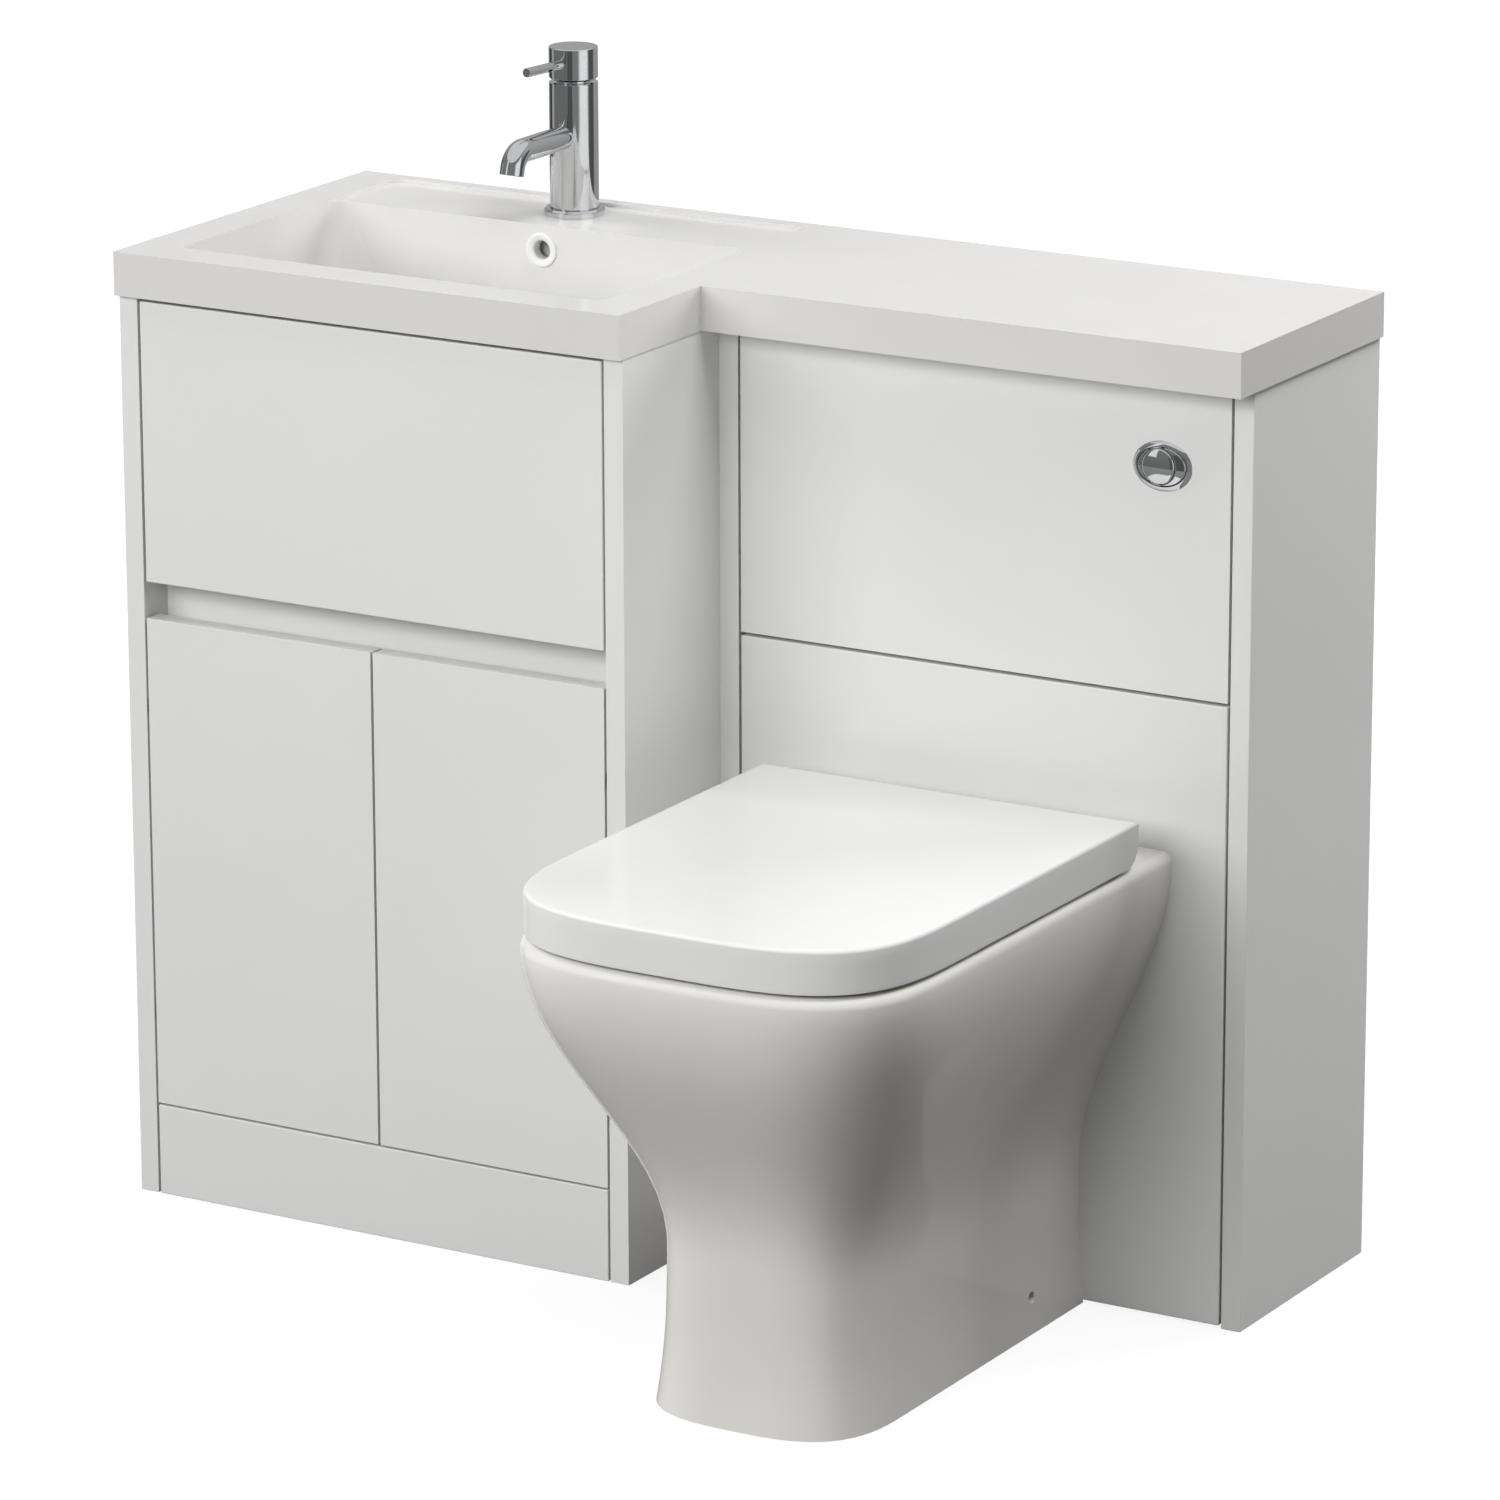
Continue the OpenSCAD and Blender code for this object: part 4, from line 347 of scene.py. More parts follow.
# The valves are grey acetal, with the cloudy grain of a glass filled moulding.
acetal = blank("moulded_grey_acetal")
spot = add(acetal, "ShaderNodeTexCoord").outputs["Object"]
fleck = add(acetal, "ShaderNodeTexNoise", {"Vector": spot, "Scale": 1000 / 1.2, "Detail": 2.0}).outputs[0]
tone = add(acetal, "ShaderNodeMix", {"Factor": fleck, 6: srgb("#8C8F94"), 7: srgb("#989CA0")},
           data_type="RGBA").outputs[2]
shine = add(acetal, "ShaderNodeMapRange", {"Value": fleck, "To Min": 0.36, "To Max": 0.48}).outputs[0]
skin = add(acetal, "ShaderNodeBsdfPrincipled", {"Base Color": tone, "Roughness": shine, "IOR": 1.48})
add(acetal, "ShaderNodeOutputMaterial", {"Surface": skin.outputs[0]})
for node in ("flush_valve", "fill_valve"):
    piece(node, "cabinet", acetal, ease=0.3, steps=2)

# The flush valve's piston is black rubber, matt, with a bloom of fine dust.
seal_rubber = blank("moulded_black_rubber")
spot = add(seal_rubber, "ShaderNodeTexCoord").outputs["Object"]
dust = add(seal_rubber, "ShaderNodeTexNoise", {"Vector": spot, "Scale": 1000 / 0.8, "Detail": 3.0}).outputs[0]
tone = add(seal_rubber, "ShaderNodeMix", {"Factor": dust, 6: srgb("#202022"), 7: srgb("#2F2F31")},
           data_type="RGBA").outputs[2]
shine = add(seal_rubber, "ShaderNodeMapRange", {"Value": dust, "To Min": 0.6, "To Max": 0.78}).outputs[0]
relief = add(seal_rubber, "ShaderNodeBump", {"Height": dust, "Distance": 0.02 / 1000}).outputs[0]
skin = add(seal_rubber, "ShaderNodeBsdfPrincipled", {"Base Color": tone, "Roughness": shine, "IOR": 1.52,
                                                     "Normal": relief})
add(seal_rubber, "ShaderNodeOutputMaterial", {"Surface": skin.outputs[0]})
piece("flush_valve_piston", "valve_piston", seal_rubber, ease=0.3, steps=2)

# ---------------------------------------------------------------------------------------------
# The worktop and basin are one casting: marble dust in resin behind a sprayed white gelcoat, wet
# sanded and buffed, so its gloss is deep and its flats roll very slightly.
gelcoat = blank("sprayed_white_gelcoat")
spot = add(gelcoat, "ShaderNodeTexCoord").outputs["Object"]
settle = add(gelcoat, "ShaderNodeTexNoise", {"Vector": spot, "Scale": 1000 / 60, "Detail": 1.0}).outputs[0]
buff = add(gelcoat, "ShaderNodeTexNoise", {"Vector": spot, "Scale": 1000 / 9, "Detail": 3.0}).outputs[0]
tone = add(gelcoat, "ShaderNodeMix", {"Factor": settle, 6: srgb("#D8D7D5"), 7: srgb("#DCDBD9")},
           data_type="RGBA").outputs[2]
shine = add(gelcoat, "ShaderNodeMapRange", {"Value": buff, "To Min": 0.12, "To Max": 0.19}).outputs[0]
relief = add(gelcoat, "ShaderNodeBump", {"Height": settle, "Distance": 0.02 / 1000}).outputs[0]
skin = add(gelcoat, "ShaderNodeBsdfPrincipled", {"Base Color": tone, "Roughness": shine, "IOR": 1.5,
                                                 "Normal": relief})
add(gelcoat, "ShaderNodeOutputMaterial", {"Surface": skin.outputs[0]})
piece("worktop_basin", "cabinet", gelcoat, ease=2.0, steps=4)

# The overflow ring is white ABS, moulded smooth, with a flared mouth, and pushed into its hole.
abs_white = blank("moulded_white_abs")
spot = add(abs_white, "ShaderNodeTexCoord").outputs["Object"]
flow = add(abs_white, "ShaderNodeTexNoise", {"Vector": spot, "Scale": 1000 / 20, "Detail": 2.0}).outputs[0]
tone = add(abs_white, "ShaderNodeMix", {"Factor": flow, 6: srgb("#E2E2DF"), 7: srgb("#E6E6E4")},
           data_type="RGBA").outputs[2]
shine = add(abs_white, "ShaderNodeMapRange", {"Value": flow, "To Min": 0.14, "To Max": 0.22}).outputs[0]
skin = add(abs_white, "ShaderNodeBsdfPrincipled", {"Base Color": tone, "Roughness": shine, "IOR": 1.53})
add(abs_white, "ShaderNodeOutputMaterial", {"Surface": skin.outputs[0]})
turns = [math.radians(360 * i / 72) for i in range(72)]
middle_x, middle_y = 500.0, -369.5  # of the whole unit, in mm from the worktop's left end and the wall


def at(x, y, z):
    """A place in the part's frame, from mm from the worktop's left end, the wall and the floor."""
    return Vector(((x - middle_x) / 1000, (y - middle_y) / 1000, z / 1000))


def lay(bm, rings):
    """Lays a grid over rings of places and closes it round. A ring with all its places alike is a pole."""
    columns, rows = len(rings[0]), len(rings) - 1
    grid = bmesh.ops.create_grid(bm, x_segments=columns, y_segments=rows, size=1.0)["verts"]
    for v in grid:
        v.co = rings[round((v.co.y + 1) / 2 * rows)][round((v.co.x + 1) / 2 * columns) % columns]
    bmesh.ops.remove_doubles(bm, verts=grid, dist=0.000001)


# The ring's section, from the inner end of its bore round to the outer one: radius, and depth into
# the bowl's back wall.
overflow_x, bowl_wall_y, overflow_z = 250.0, -107.0, 813.0
ring_section = ((8.0, 9.0), (8.0, 0.8), (8.4, -0.4), (9.3, -1.3), (10.6, -1.9), (12.0, -2.3), (13.2, -2.5),
                (14.1, -2.4), (14.8, -2.0), (15.0, -1.4), (15.0, 0.0), (9.95, 0.0), (9.95, 9.0), (8.0, 9.0))
bm = bmesh.new()
lay(bm, [[at(overflow_x + radius * math.cos(a), bowl_wall_y + depth, overflow_z + radius * math.sin(a))
          for a in turns] for radius, depth in ring_section])
overflow = join(bm, "overflow_ring_flared", abs_white)
overflow.data.set_sharp_from_angle(angle=math.radians(40))
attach(overflow, "cabinet")
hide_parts("overflow_ring")

# ---------------------------------------------------------------------------------------------
# The waste, its plug, the tap and the flush plate are brass or ABS, polished, nickelled and chrome
# plated. The chrome is a mirror with a faint haze from the buffing wheel.
chrome = blank("polished_chrome_plate")
spot = add(chrome, "ShaderNodeTexCoord").outputs["Object"]
haze = add(chrome, "ShaderNodeTexNoise", {"Vector": spot, "Scale": 1000 / 12, "Detail": 4.0}).outputs[0]
tone = add(chrome, "ShaderNodeMix", {"Factor": haze, 6: srgb("#D6D8DA"), 7: srgb("#DEE0E1")},
           data_type="RGBA").outputs[2]
shine = add(chrome, "ShaderNodeMapRange", {"Value": haze, "To Min": 0.03, "To Max": 0.07}).outputs[0]
skin = add(chrome, "ShaderNodeBsdfPrincipled", {"Base Color": tone, "Metallic": 1.0, "Roughness": shine})
add(chrome, "ShaderNodeOutputMaterial", {"Surface": skin.outputs[0]})
for node, body in (("basin_waste", "cabinet"), ("waste_plug", "plug"), ("tap_body", "cabinet"),
                   ("tap_base_ring", "cabinet"), ("tap_aerator", "cabinet"), ("tap_head", "tap_lever_head"),
                   ("tap_lever", "tap_lever_head")):
    piece(node, body, chrome, ease=0.4, steps=3)
# The cartridge is held by a plated nut, whose edge is the bright line between body and head.
piece("tap_cartridge", "cabinet", chrome, ease=0.3)

# ---------------------------------------------------------------------------------------------
# The flush plate's oval bezel, held by a nut behind the panel, and its two domed buttons: a round
# one for the half flush, inside the oval one for the full flush. They make one shallow dome.
plate_x, plate_y, plate_z = 915.0, -229.0, 728.5
full_half_w, full_half_h = 22.2, 16.2
round_r, round_off = 15.0, -2.6
dome_edge, dome_rise, dome_fall, dome_least = 1.6, 3.6, 0.8, 0.6


def dome_ring(half_w, half_h, off, lift):
    """An oval ring on the plate's dome, its places lifted off it by so many mm."""
    ring = []
    for a in turns:
        x, z = off + half_w * math.cos(a), half_h * math.sin(a)
        fall = (x / full_half_w) ** 2 * dome_fall + (z / full_half_h) ** 2 * dome_fall
        crown = max(dome_edge + dome_rise * (1.0 - fall), dome_least)
        ring.append(at(plate_x + x, plate_y - crown - lift, plate_z + z))
    return ring


def back_ring(half_w, half_h, off, depth):
    """An oval ring so many mm behind the panel's face."""
    return [at(plate_x + off + half_w * math.cos(a), plate_y + depth, plate_z + half_h * math.sin(a))
            for a in turns]


def between(ring, other, share):
    """The ring that lies so far on the way from one ring to another."""
    return [a.lerp(b, share) for a, b in zip(ring, other)]


# The bezel: a closed cup through the panel, whose brim falls off to the panel more and more steeply.
bore, barrel, nut, rim = (22.5, 16.5), (24.2, 18.2), (28.5, 22.5), (27.0, 21.0)
lip, closed = (bore[0] + 0.12, bore[1] + 0.12), (0.0, 0.0)
brim_edge, brim_rise, brim_curve, brim_steps = 0.2, 2.25, 1.6, 12
panel_back, nut_back, cup_floor, cup_back = 18.0, 22.0, 27.0, 29.5
cup = [back_ring(*half, 0.0, depth) for half, depth in (
    (closed, cup_floor), (bore, cup_floor), (bore, 1.0), (bore, -2.0), (lip, -2.35))]
for step in range(1, brim_steps + 1):
    share = step / brim_steps
    half = [inside + (outside - inside) * share for inside, outside in zip(bore, rim)]
    cup.append(back_ring(*half, 0.0, -brim_edge - brim_rise * (1 - share ** brim_curve)))
cup += [back_ring(*half, 0.0, depth) for half, depth in (
    (rim, 0.0), (barrel, 0.0), (barrel, panel_back), (nut, panel_back), (nut, nut_back), (barrel, nut_back),
    (barrel, cup_back), (closed, cup_back))]
bm = bmesh.new()
lay(bm, cup)
bezel = join(bm, "flush_bezel_domed", chrome)
bezel.data.set_sharp_from_angle(angle=math.radians(40))
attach(bezel, "cabinet")
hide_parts("flush_bezel")

# The round button: a plain stem with an eased edge under its dome.
stem_back = 10.5
stem = [back_ring(0.0, 0.0, round_off, stem_back)]
stem += [back_ring(round_r, round_r, round_off, depth) for depth in (stem_back, 6.0, 1.0)]
stem += [dome_ring(round_r - inset, round_r - inset, round_off, lift) for inset, lift in (
    (0.0, -0.9), (0.15, -0.35), (0.6, 0.1))]
stem += [dome_ring(round_r * share, round_r * share, round_off, 0.25) for share in (
    0.90, 0.75, 0.6, 0.45, 0.3, 0.15, 0.0)]
bm = bmesh.new()
lay(bm, stem)
half_button = join(bm, "flush_button_half_domed", chrome)
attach(half_button, "half_button")
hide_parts("flush_button_half")

# The oval button: a sleeve round the round one, domed from its mouth to its brow.
sleeve_r, sleeve_back = round_r + 0.35, 9.5
mouth = dome_ring(sleeve_r + 0.5, sleeve_r + 0.5, round_off, -0.15)
brow = dome_ring(full_half_w - 0.8, full_half_h - 0.8, 0.0, -0.1)
sleeve = [back_ring(sleeve_r, sleeve_r, round_off, depth) for depth in (sleeve_back, 1.0)]
sleeve += [dome_ring(sleeve_r, sleeve_r, round_off, -0.8), mouth]
sleeve += [between(mouth, brow, step / 6) for step in range(1, 6)]
sleeve += [brow, dome_ring(full_half_w - 0.15, full_half_h - 0.15, 0.0, -0.7)]
sleeve += [back_ring(full_half_w, full_half_h, 0.0, depth) for depth in (1.0, sleeve_back)]
bm = bmesh.new()
lay(bm, sleeve + sleeve[:1])
full_button = join(bm, "flush_button_full_domed", chrome)
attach(full_button, "full_button")
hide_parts("flush_button_full")

# ---------------------------------------------------------------------------------------------
# The pan is slip cast vitreous china under a fired glaze: hollow in the foot and open behind, with
# a bowl, a trapway to the outlet and a boss for the flush pipe cast into it.
pan_x, panel_y, pan_top = 748.0, -229.0, 405.0
back_steps, side_steps, nose_steps = 8, 16, 32
half_steps = back_steps + side_steps + nose_steps


def d_ring(half, front, nose, square, back, z):
    """A ring with a straight back and a rounded front. Front and back are measured from the panel."""
    ring = []
    for k in range(2 * half_steps):
        turn = min(k, 2 * half_steps - k)
        x, y = half, back
        if turn <= back_steps:
            x = half * turn / back_steps
        elif turn <= back_steps + side_steps:
            y = back + (nose - front - back) * (turn - back_steps) / side_steps
        else:
            a = math.radians(90 * (turn - back_steps - side_steps) / nose_steps)
            x = half * max(math.cos(a), 0.0) ** (2 / square)
            y = nose - front - nose * math.sin(a) ** (2 / square)
        ring.append(at(pan_x + (x if k <= half_steps else -x), panel_y + y, z))
    return ring


back_corner, side_end = 30.5, 102.0  # where an oval's back and sides end, in degrees from behind


def oval_ring(middle, half, length, z, square=2.4):
    """A ring of an oval bowl, with its places in line with those of a ring with a straight back."""
    ring = []
    for k in range(2 * half_steps):
        turn = min(k, 2 * half_steps - k)
        if turn <= back_steps:
            a = math.radians(back_corner * turn / back_steps)
        elif turn <= back_steps + side_steps:
            a = math.radians(back_corner + (side_end - back_corner) * (turn - back_steps) / side_steps)
        else:
            a = math.radians(side_end + (180 - side_end) * (turn - back_steps - side_steps) / nose_steps)
        x = half * max(math.sin(a), 0.0) ** (2 / square)
        y = length * math.copysign(abs(math.cos(a)) ** (2 / square), math.cos(a))
        ring.append(at(pan_x + (x if k <= half_steps else -x), middle + y, z))
    return ring


def pole(ring_like, x, y, z):
    """A ring drawn together to one place, which closes the end of a form."""
    return [at(x, y, z)] * len(ring_like)


def smooth_step(t):
    """Goes from 0 to 1 with t, slowly at both its ends."""
    t = min(max(t, 0.0), 1.0)
    return t * t * (3 - 2 * t)


rim_edge = 9.0
rim_z = pan_top - rim_edge
neck_half, neck_reach, foot_nose = 97, 399, 102
rim_half, rim_reach, rim_nose = 180, 510, 167
widens_from, juts_from = 125, 140
flare_top, flare_side, flare_front = 90, 5, 8


def pan_ring(z, inset, back):
    """The pan's outside at one height: narrow above the floor, with a flared foot and a wide rim."""
    flare = max(1 - z / flare_top, 0.0) ** 2
    wide = smooth_step((z - widens_from) / (rim_z - widens_from))
    far = smooth_step((z - juts_from) / (rim_z - juts_from))
    full = smooth_step(z / pan_top)
    half = neck_half + (rim_half - neck_half) * wide + flare_side * flare
    reach = neck_reach + (rim_reach - neck_reach) * far + flare_front * flare
    nose = foot_nose + (rim_nose - foot_nose) * full
    return d_ring(half - inset, reach - inset, nose - inset / 2, 3 + 0.4 * full, back, z)


def rod(bm, start, axis, radius, length, steps=64):
    """A round bar from a place along one axis."""
    turn = {"X": Matrix.Rotation(math.radians(90), 4, "Y"), "Y": Matrix.Rotation(math.radians(-90), 4, "X"),
            "Z": Matrix.Identity(4)}[axis]
    middle = at(*start) + turn.to_3x3() @ Vector((0, 0, length / 2000))
    bmesh.ops.create_cone(bm, cap_ends=True, segments=steps, radius1=radius / 1000, radius2=radius / 1000,
                          depth=length / 1000, matrix=Matrix.Translation(middle) @ turn)


def block(bm, low, high):
    """A rectangular block between two corners."""
    a, b = at(*low), at(*high)
    bmesh.ops.create_cube(bm, size=1.0,
                          matrix=Matrix.Translation((a + b) / 2) @ Matrix.Diagonal((*(b - a), 1.0)))


def work(obj, operation, bm):
    """Joins a form to a piece, or cuts it away, and leaves the piece a plain mesh."""
    tool = join(bm, "tool")
    worked = obj.modifiers.new("worked", "BOOLEAN")
    worked.operation, worked.solver, worked.object = operation, "EXACT", tool
    obj.data = bpy.data.meshes.new_from_object(obj.evaluated_get(bpy.context.evaluated_depsgraph_get()))
    obj.modifiers.clear()
    bpy.data.objects.remove(tool)


# Glaze on china: a deep wet gloss. It pools in the hollows, so its surface rolls by some hundredths
# of a millimetre every few centimetres, and the body below it is a warm white.
china = blank("glazed_vitreous_china")
spot = add(china, "ShaderNodeTexCoord").outputs["Object"]
pool = add(china, "ShaderNodeTexNoise", {"Vector": spot, "Scale": 1000 / 70, "Detail": 1.0}).outputs[0]
tone = add(china, "ShaderNodeMix", {"Factor": pool, 6: srgb("#DFDDD8"), 7: srgb("#E5E3DF")},
           data_type="RGBA").outputs[2]
shine = add(china, "ShaderNodeMapRange", {"Value": pool, "To Min": 0.07, "To Max": 0.12}).outputs[0]
relief = add(china, "ShaderNodeBump", {"Height": pool, "Distance": 0.06 / 1000}).outputs[0]
skin = add(china, "ShaderNodeBsdfPrincipled", {"Base Color": tone, "Roughness": shine, "IOR": 1.52,
                                               "Normal": relief})
add(china, "ShaderNodeOutputMaterial", {"Surface": skin.outputs[0]})

foot_levels = [0, 7, 15, 24, 34, 45, 58, 72, 90, 108, 125, 142, 160, 180, 200, 220, 240, 260, 280, 300, 320,
               340, 362, 383, rim_z]
pan_mid, wall, back_wall = -450, 13, 6
quarter = [math.radians(angle) for angle in range(15, 91, 15)]
rings = [pan_ring(z, 0, 0) for z in foot_levels]
for a in quarter:
    rise, inset = rim_edge * math.sin(a), rim_edge * (1 - math.cos(a))
    rings.append([Vector((p.x, p.y, (rim_z + rise) / 1000)) for p in pan_ring(rim_z, inset, 0)])
bm = bmesh.new()
lay(bm, [pole(rings[0], pan_x, pan_mid, 0)] + rings + [pole(rings[0], pan_x, pan_mid, pan_top)])
pan = join(bm, "pan_glazed", china)

# The foot's hollow, open to the floor.
below, hollow_top = -1, 383
rings = [[Vector((p.x, p.y, below / 1000)) for p in pan_ring(0, wall, back_wall)]]
rings += [pan_ring(z, wall, back_wall) for z in foot_levels[1:-1]]
bm = bmesh.new()
lay(bm, [pole(rings[0], pan_x, pan_mid, below)] + rings + [pole(rings[0], pan_x, pan_mid, hollow_top)])
work(pan, "DIFFERENCE", bm)

# The bowl's levels, from the mouth down: share of the height, of the width and of the length, and
# how far back each lies. They are eased, so that the glaze has no creases.
bowl_mid, bowl_half, bowl_length, bowl_floor, bowl_wall, sump_off = -534.0, 125, 165, 120, 12, 45.0
steps_between, easings = 6, 6
levels = [(1.0, 1.0, 1.0, 0.0), (0.88, 0.98, 0.985, 1.0), (0.70, 0.88, 0.88, 6.0), (0.47, 0.66, 0.66, 17.0),
          (0.25, 0.42, 0.40, 32.0), (0.06, 0.30, 0.25, 42.0), (0.0, 0.24, 0.19, sump_off)]
profile = []
for upper, lower in zip(levels, levels[1:]):
    for step in range(steps_between):
        profile.append([a + (b - a) * step / steps_between for a, b in zip(upper, lower)])
profile.append(list(levels[-1]))
for _ in range(easings):
    profile = [profile[0]] + [[(a + 2 * b + c) / 4 for a, b, c in zip(*three)]
                              for three in zip(profile, profile[1:], profile[2:])] + [profile[-1]]


def bowl_rings(out, floor, top):
    """The bowl's rings, grown outwards by so many mm, between two heights."""
    return [oval_ring(bowl_mid + off, bowl_half * wide + out, bowl_length * long + out,
                      floor + (top - floor) * share)
            for share, wide, long, off in profile]


under_rim, under_floor = pan_top - 7, bowl_floor - bowl_wall
rings = bowl_rings(bowl_wall, under_floor, under_rim)
bm = bmesh.new()
lay(bm, [pole(rings[0], pan_x, bowl_mid, under_rim)] + rings
    + [pole(rings[0], pan_x, bowl_mid + sump_off, under_floor)])
work(pan, "UNION", bm)

# The trapway's line, in y and z: two bows, over the weir and down to the outlet.
outlet_z, inlet_z, weir = 180, 338, (-372, 238)
trap_line = []
for start, pull, other_pull, end, first, last, parts in (
        ((-484, 144.5), (-422, 130.5), (-428, 238), weir, 0, 10, 10),
        (weir, (-326, 238), (-327, outlet_z), (-281, outlet_z), 1, 8, 8)):
    for i in range(first, last + 1):
        t = i / parts
        trap_line.append([a * (1 - t) ** 3 + 3 * b * t * (1 - t) ** 2 + 3 * c * t * t * (1 - t) + d * t ** 3
                          for a, b, c, d in zip(start, pull, other_pull, end)])


def trapway(radius):
    """A tube along the trapway's line."""
    rings = []
    for k, (y, z) in enumerate(trap_line):
        (ya, za), (yb, zb) = trap_line[max(k - 1, 0)], trap_line[min(k + 1, len(trap_line) - 1)]
        along = math.hypot(yb - ya, zb - za)
        uy, uz = (yb - ya) / along, (zb - za) / along
        rings.append([at(pan_x + radius * math.cos(a), y + uz * radius * math.sin(a),
                         z - uy * radius * math.sin(a)) for a in turns[::2]])
    bm = bmesh.new()
    lay(bm, [pole(rings[0], pan_x, *trap_line[0])] + rings + [pole(rings[0], pan_x, *trap_line[-1])])
    return bm


# The trapway's outside, the outlet's socket and the boss for the flush pipe.
trap_r, trap_wall = 24.0, 10.0
socket_r, outlet_r, boss_r, inlet_r = 51.0, 43.0, 36.5, 27.5
work(pan, "UNION", trapway(trap_r + trap_wall))
bm = bmesh.new()
rod(bm, (pan_x, -295, outlet_z), "Y", socket_r, 100)
rod(bm, (pan_x, -399, inlet_z), "Y", boss_r, 166)
work(pan, "UNION", bm)

# The bowl and the trapway are then cut out, through all of these. The bowl's mouth is rounded.
mouth_edge, clear = 5.0, 3.0
out = mouth_edge + clear
rings = [oval_ring(bowl_mid, bowl_half + out, bowl_length + out, pan_top + clear)]
for a in [0.0] + quarter:
    out = mouth_edge * (1 - math.sin(a))
    rings.append(oval_ring(bowl_mid, bowl_half + out, bowl_length + out,
                           pan_top - mouth_edge + mouth_edge * math.cos(a)))
mouth_foot = (pan_top - mouth_edge - 1) / 1000
rings += [ring for ring in bowl_rings(0, bowl_floor, pan_top) if ring[0].z < mouth_foot]
bm = bmesh.new()
lay(bm, [pole(rings[0], pan_x, bowl_mid, pan_top + clear)] + rings
    + [pole(rings[0], pan_x, bowl_mid + sump_off, bowl_floor)])
work(pan, "DIFFERENCE", bm)
work(pan, "DIFFERENCE", trapway(trap_r))

# The bores: outlet, inlet, and on each side the seat's bolt and the floor bracket's screw.
hinge_y, hinge_off, bolt_r = -302.0, 77.5, 7.0
screw_off, screw_y, screw_z, screw_r = 89, -315, 31, 5.0
bm = bmesh.new()
rod(bm, (pan_x, -283, outlet_z), "Y", outlet_r, 100)
rod(bm, (pan_x, -409, inlet_z), "Y", inlet_r, 190)
for side in (-1, 1):
    rod(bm, (pan_x + side * hinge_off, hinge_y, 345), "Z", bolt_r, 70, 32)
    rod(bm, (pan_x + side * screw_off - 30, screw_y, screw_z), "X", screw_r, 60, 32)
work(pan, "DIFFERENCE", bm)
pan.data.set_sharp_from_angle(angle=math.radians(32))
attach(pan, "cabinet")
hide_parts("pan")

# ---------------------------------------------------------------------------------------------
# Seat and lid: urea, pressed hot in a steel mould, hard, glossy and very even. The lid wraps over
# the seat, and both turn on pins through two plated posts that are bolted to the pan.
urea = blank("moulded_gloss_urea")
spot = add(urea, "ShaderNodeTexCoord").outputs["Object"]
press = add(urea, "ShaderNodeTexNoise", {"Vector": spot, "Scale": 1000 / 90, "Detail": 1.0}).outputs[0]
tone = add(urea, "ShaderNodeMix", {"Factor": press, 6: srgb("#DFDFDE"), 7: srgb("#E2E2E1")},
           data_type="RGBA").outputs[2]
shine = add(urea, "ShaderNodeMapRange", {"Value": press, "To Min": 0.15, "To Max": 0.2}).outputs[0]
relief = add(urea, "ShaderNodeBump", {"Height": press, "Distance": 0.01 / 1000}).outputs[0]
skin = add(urea, "ShaderNodeBsdfPrincipled", {"Base Color": tone, "Roughness": shine, "IOR": 1.52,
                                              "Normal": relief})
add(urea, "ShaderNodeOutputMaterial", {"Surface": skin.outputs[0]})

hinge_z = 427.0
hinge_reach = hinge_y - panel_y
lid_half, lid_reach, lid_nose, lid_heel, lid_wall = 177, 507, 164, 19.0, 4.5
inner_heel = lid_heel - lid_wall
nose_square = 3.4  # how far the nose is from an ellipse, which has 2, towards a box


def lid_ring(inset, z, heel, wall=0.0):
    """The lid's plan at one height. Below the hinge its back edge is round about the hinge's axis."""
    drop = max(hinge_z - z, 0.0)
    back = hinge_reach + (math.sqrt(max(heel * heel - drop * drop, 0.0)) if z < hinge_z else heel)
    return d_ring(lid_half - inset, lid_reach - inset, lid_nose - inset / 2, nose_square, back - wall, z)


# The lid's shell, from the middle of its ceiling, down inside, round its lower edge and up again to
# its crown.
lid_mid, lid_ceiling, lid_shoulder, lid_top = -509.0, 439.0, 441.2, 443.8
edge_round, crown_rise = lid_top - lid_shoulder, 0.6
rings = [lid_ring(6.5, lid_ceiling, inner_heel), lid_ring(5.1, 438.4, inner_heel),
         lid_ring(lid_wall, 437.0, inner_heel)]
ceiling = pole(rings[0], pan_x, lid_mid, lid_ceiling)
rings = [ceiling, between(ceiling, rings[0], 0.5)] + rings
rings += [lid_ring(lid_wall, z, inner_heel) for z in (432, 427, 423, 419, 415.5, 413.5)]
rings += [lid_ring(lid_wall, 412.4, 0.0, lid_wall), lid_ring(lid_wall, 408.5, 0.0, lid_wall)]
rings += [lid_ring(4.0, 408.0, 0.0, 4.0), lid_ring(0.6, 408.0, 0.6), lid_ring(0.1, 408.4, lid_heel)]
rings += [lid_ring(0.0, z, lid_heel) for z in (409.5, 412, 415, 419, 423, 427, 433, lid_shoulder)]
for a in quarter:
    inset = edge_round * (1 - math.cos(a))
    rings.append(lid_ring(inset, lid_shoulder + edge_round * math.sin(a), lid_heel - inset))
edge, top = rings[-1], pole(rings[0], pan_x, lid_mid, lid_top)
for share in (0.02, 0.12, 0.3, 0.5, 0.75, 1.0):
    lift = Vector((0, 0, crown_rise * (1 - (1 - share) ** 2) / 1000))
    rings.append([p + lift for p in between(edge, top, share)])
bm = bmesh.new()
lay(bm, rings)
lid = join(bm, "seat_lid_moulded", urea)

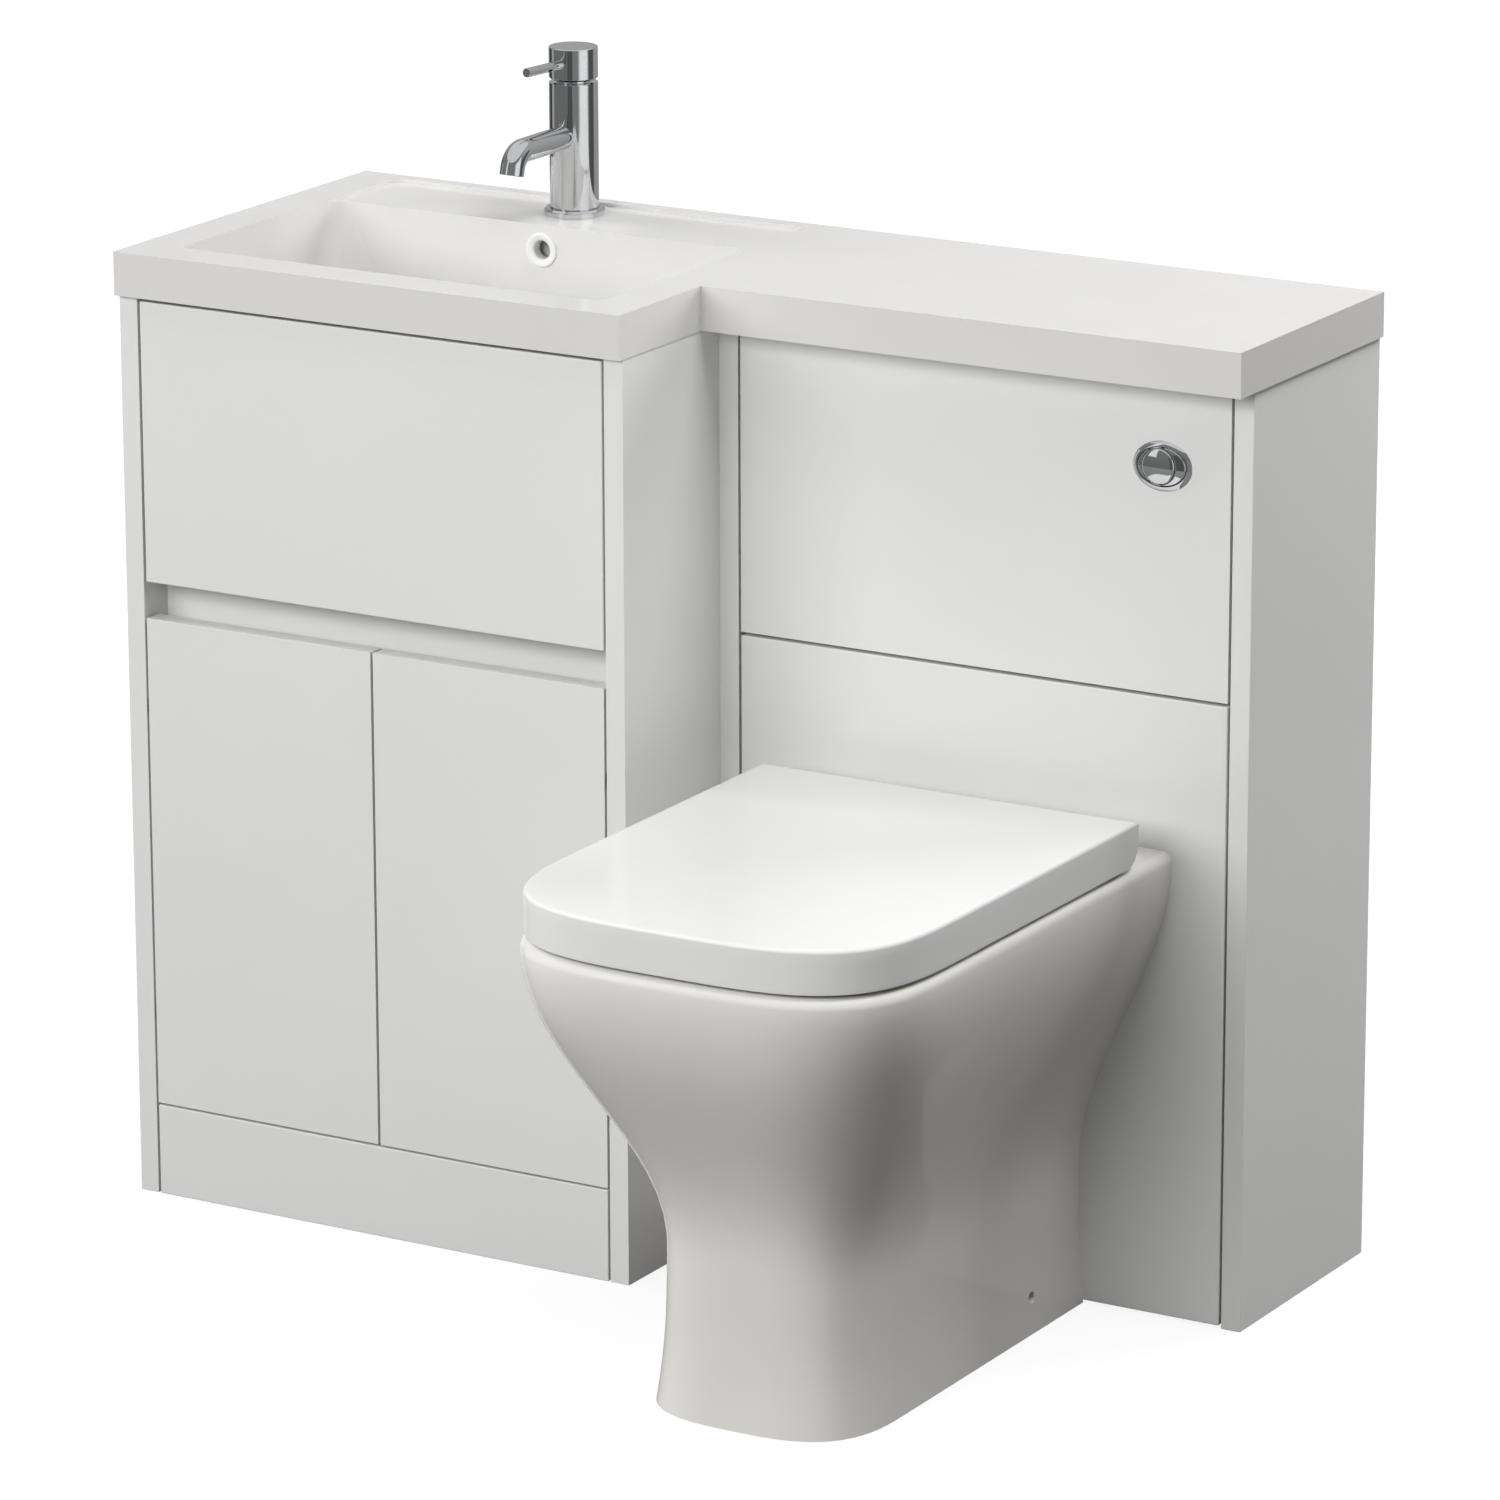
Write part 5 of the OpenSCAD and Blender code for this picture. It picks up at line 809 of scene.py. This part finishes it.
# Inside it, two knuckles for each hinge post and four buffers that rest on the seat. The knuckles
# run up into the ceiling.
knuckle_r, knuckle_w, knuckle_off = 9.0, 10, 24
web_half, web_depth = 4.9, 8.9
buffer_off, buffer_rows, buffer_z, buffer_r, buffer_length = 139, (-649, -389), 429.4, 7.0, 10.4
bm = bmesh.new()
for side in (-1, 1):
    for turn in (-knuckle_off, knuckle_off):
        left = pan_x + side * hinge_off + turn - knuckle_w / 2
        rod(bm, (left, hinge_y, hinge_z), "X", knuckle_r, knuckle_w, 48)
    for y in buffer_rows:
        rod(bm, (pan_x + side * buffer_off, y, buffer_z), "Z", buffer_r, buffer_length, 32)
work(lid, "UNION", bm)
bm = bmesh.new()
for side in (-1, 1):
    for turn in (-knuckle_off, knuckle_off):
        middle = pan_x + side * hinge_off + turn
        block(bm, (middle - web_half, hinge_y - web_depth, hinge_z),
              (middle + web_half, hinge_y + web_depth, 440))
work(lid, "UNION", bm)

# The pins' bores, and the gaps in the back edge through which the posts reach the pins.
pin_r, pin_length, gap_half = 4.05, 60, 19
bm = bmesh.new()
for side in (-1, 1):
    rod(bm, (pan_x + side * hinge_off - pin_length / 2, hinge_y, hinge_z), "X", pin_r, pin_length, 32)
work(lid, "DIFFERENCE", bm)
bm = bmesh.new()
for side in (-1, 1):
    middle = pan_x + side * hinge_off
    block(bm, (middle - gap_half, hinge_y - 10, 407), (middle + gap_half, hinge_y + 20, 437))
work(lid, "DIFFERENCE", bm)
lid.data.set_sharp_from_angle(angle=math.radians(35))
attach(lid, "lid")
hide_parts("seat_lid")

seat_half, seat_reach, seat_nose, seat_back = 170.7, 500.7, 160, -85
hole_mid, hole_half, hole_length, hole_square = -538.0, 109, 139, 2.3


def seat_edge(inset, z):
    """The seat's outer edge in plan, at one height."""
    return d_ring(seat_half - inset, seat_reach - inset, seat_nose, nose_square, seat_back - inset, z)


# The seat's ring, from its foot up outside, over, and down inside its hole.
outside = [seat_edge(inset, z) for inset, z in (
    (2.4, 409), (0.8, 409.6), (0, 411), (0, 417), (0, 423), (0.5, 425.4), (1.6, 427.2), (3.2, 428.4),
    (5.4, 429))]
inside = [oval_ring(hole_mid, hole_half + out, hole_length + out, z, hole_square) for out, z in (
    (8, 428.6), (5.2, 428.1), (2.8, 426.9), (1.1, 425.0), (0.2, 422.4), (0, 419), (0, 412), (0.8, 410),
    (2.6, 409))]
over = [between(outside[-1], inside[0], step / 5) for step in range(1, 5)]
bm = bmesh.new()
lay(bm, outside + over + inside + [between(inside[-1], outside[0], 0.5), outside[0]])
seat = join(bm, "seat_ring_moulded", urea)

# Its knuckles stand inside the lid's, on the same pins, with a web to the ring before them.
knuckle_r, knuckle_off = 8.0, 13.5
web_front, web_foot, web_top = -320, 412.5, 428.5
bm = bmesh.new()
for side in (-1, 1):
    for turn in (-knuckle_off, knuckle_off):
        left = pan_x + side * hinge_off + turn - knuckle_w / 2
        rod(bm, (left, hinge_y, hinge_z), "X", knuckle_r, knuckle_w, 48)
work(seat, "UNION", bm)
bm = bmesh.new()
for side in (-1, 1):
    for turn in (-knuckle_off, knuckle_off):
        middle = pan_x + side * hinge_off + turn
        block(bm, (middle - web_half, web_front, web_foot), (middle + web_half, hinge_y, web_top))
work(seat, "UNION", bm)
bm = bmesh.new()
for side in (-1, 1):
    rod(bm, (pan_x + side * hinge_off - pin_length / 2, hinge_y, hinge_z), "X", pin_r, pin_length, 32)
work(seat, "DIFFERENCE", bm)
seat.data.set_sharp_from_angle(angle=math.radians(35))
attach(seat, "seat")
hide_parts("seat_ring")

# The seat stands on four soft white buffers pressed into its underside.
piece("seat_buffers", "seat", polypropylene, ease=1.0)
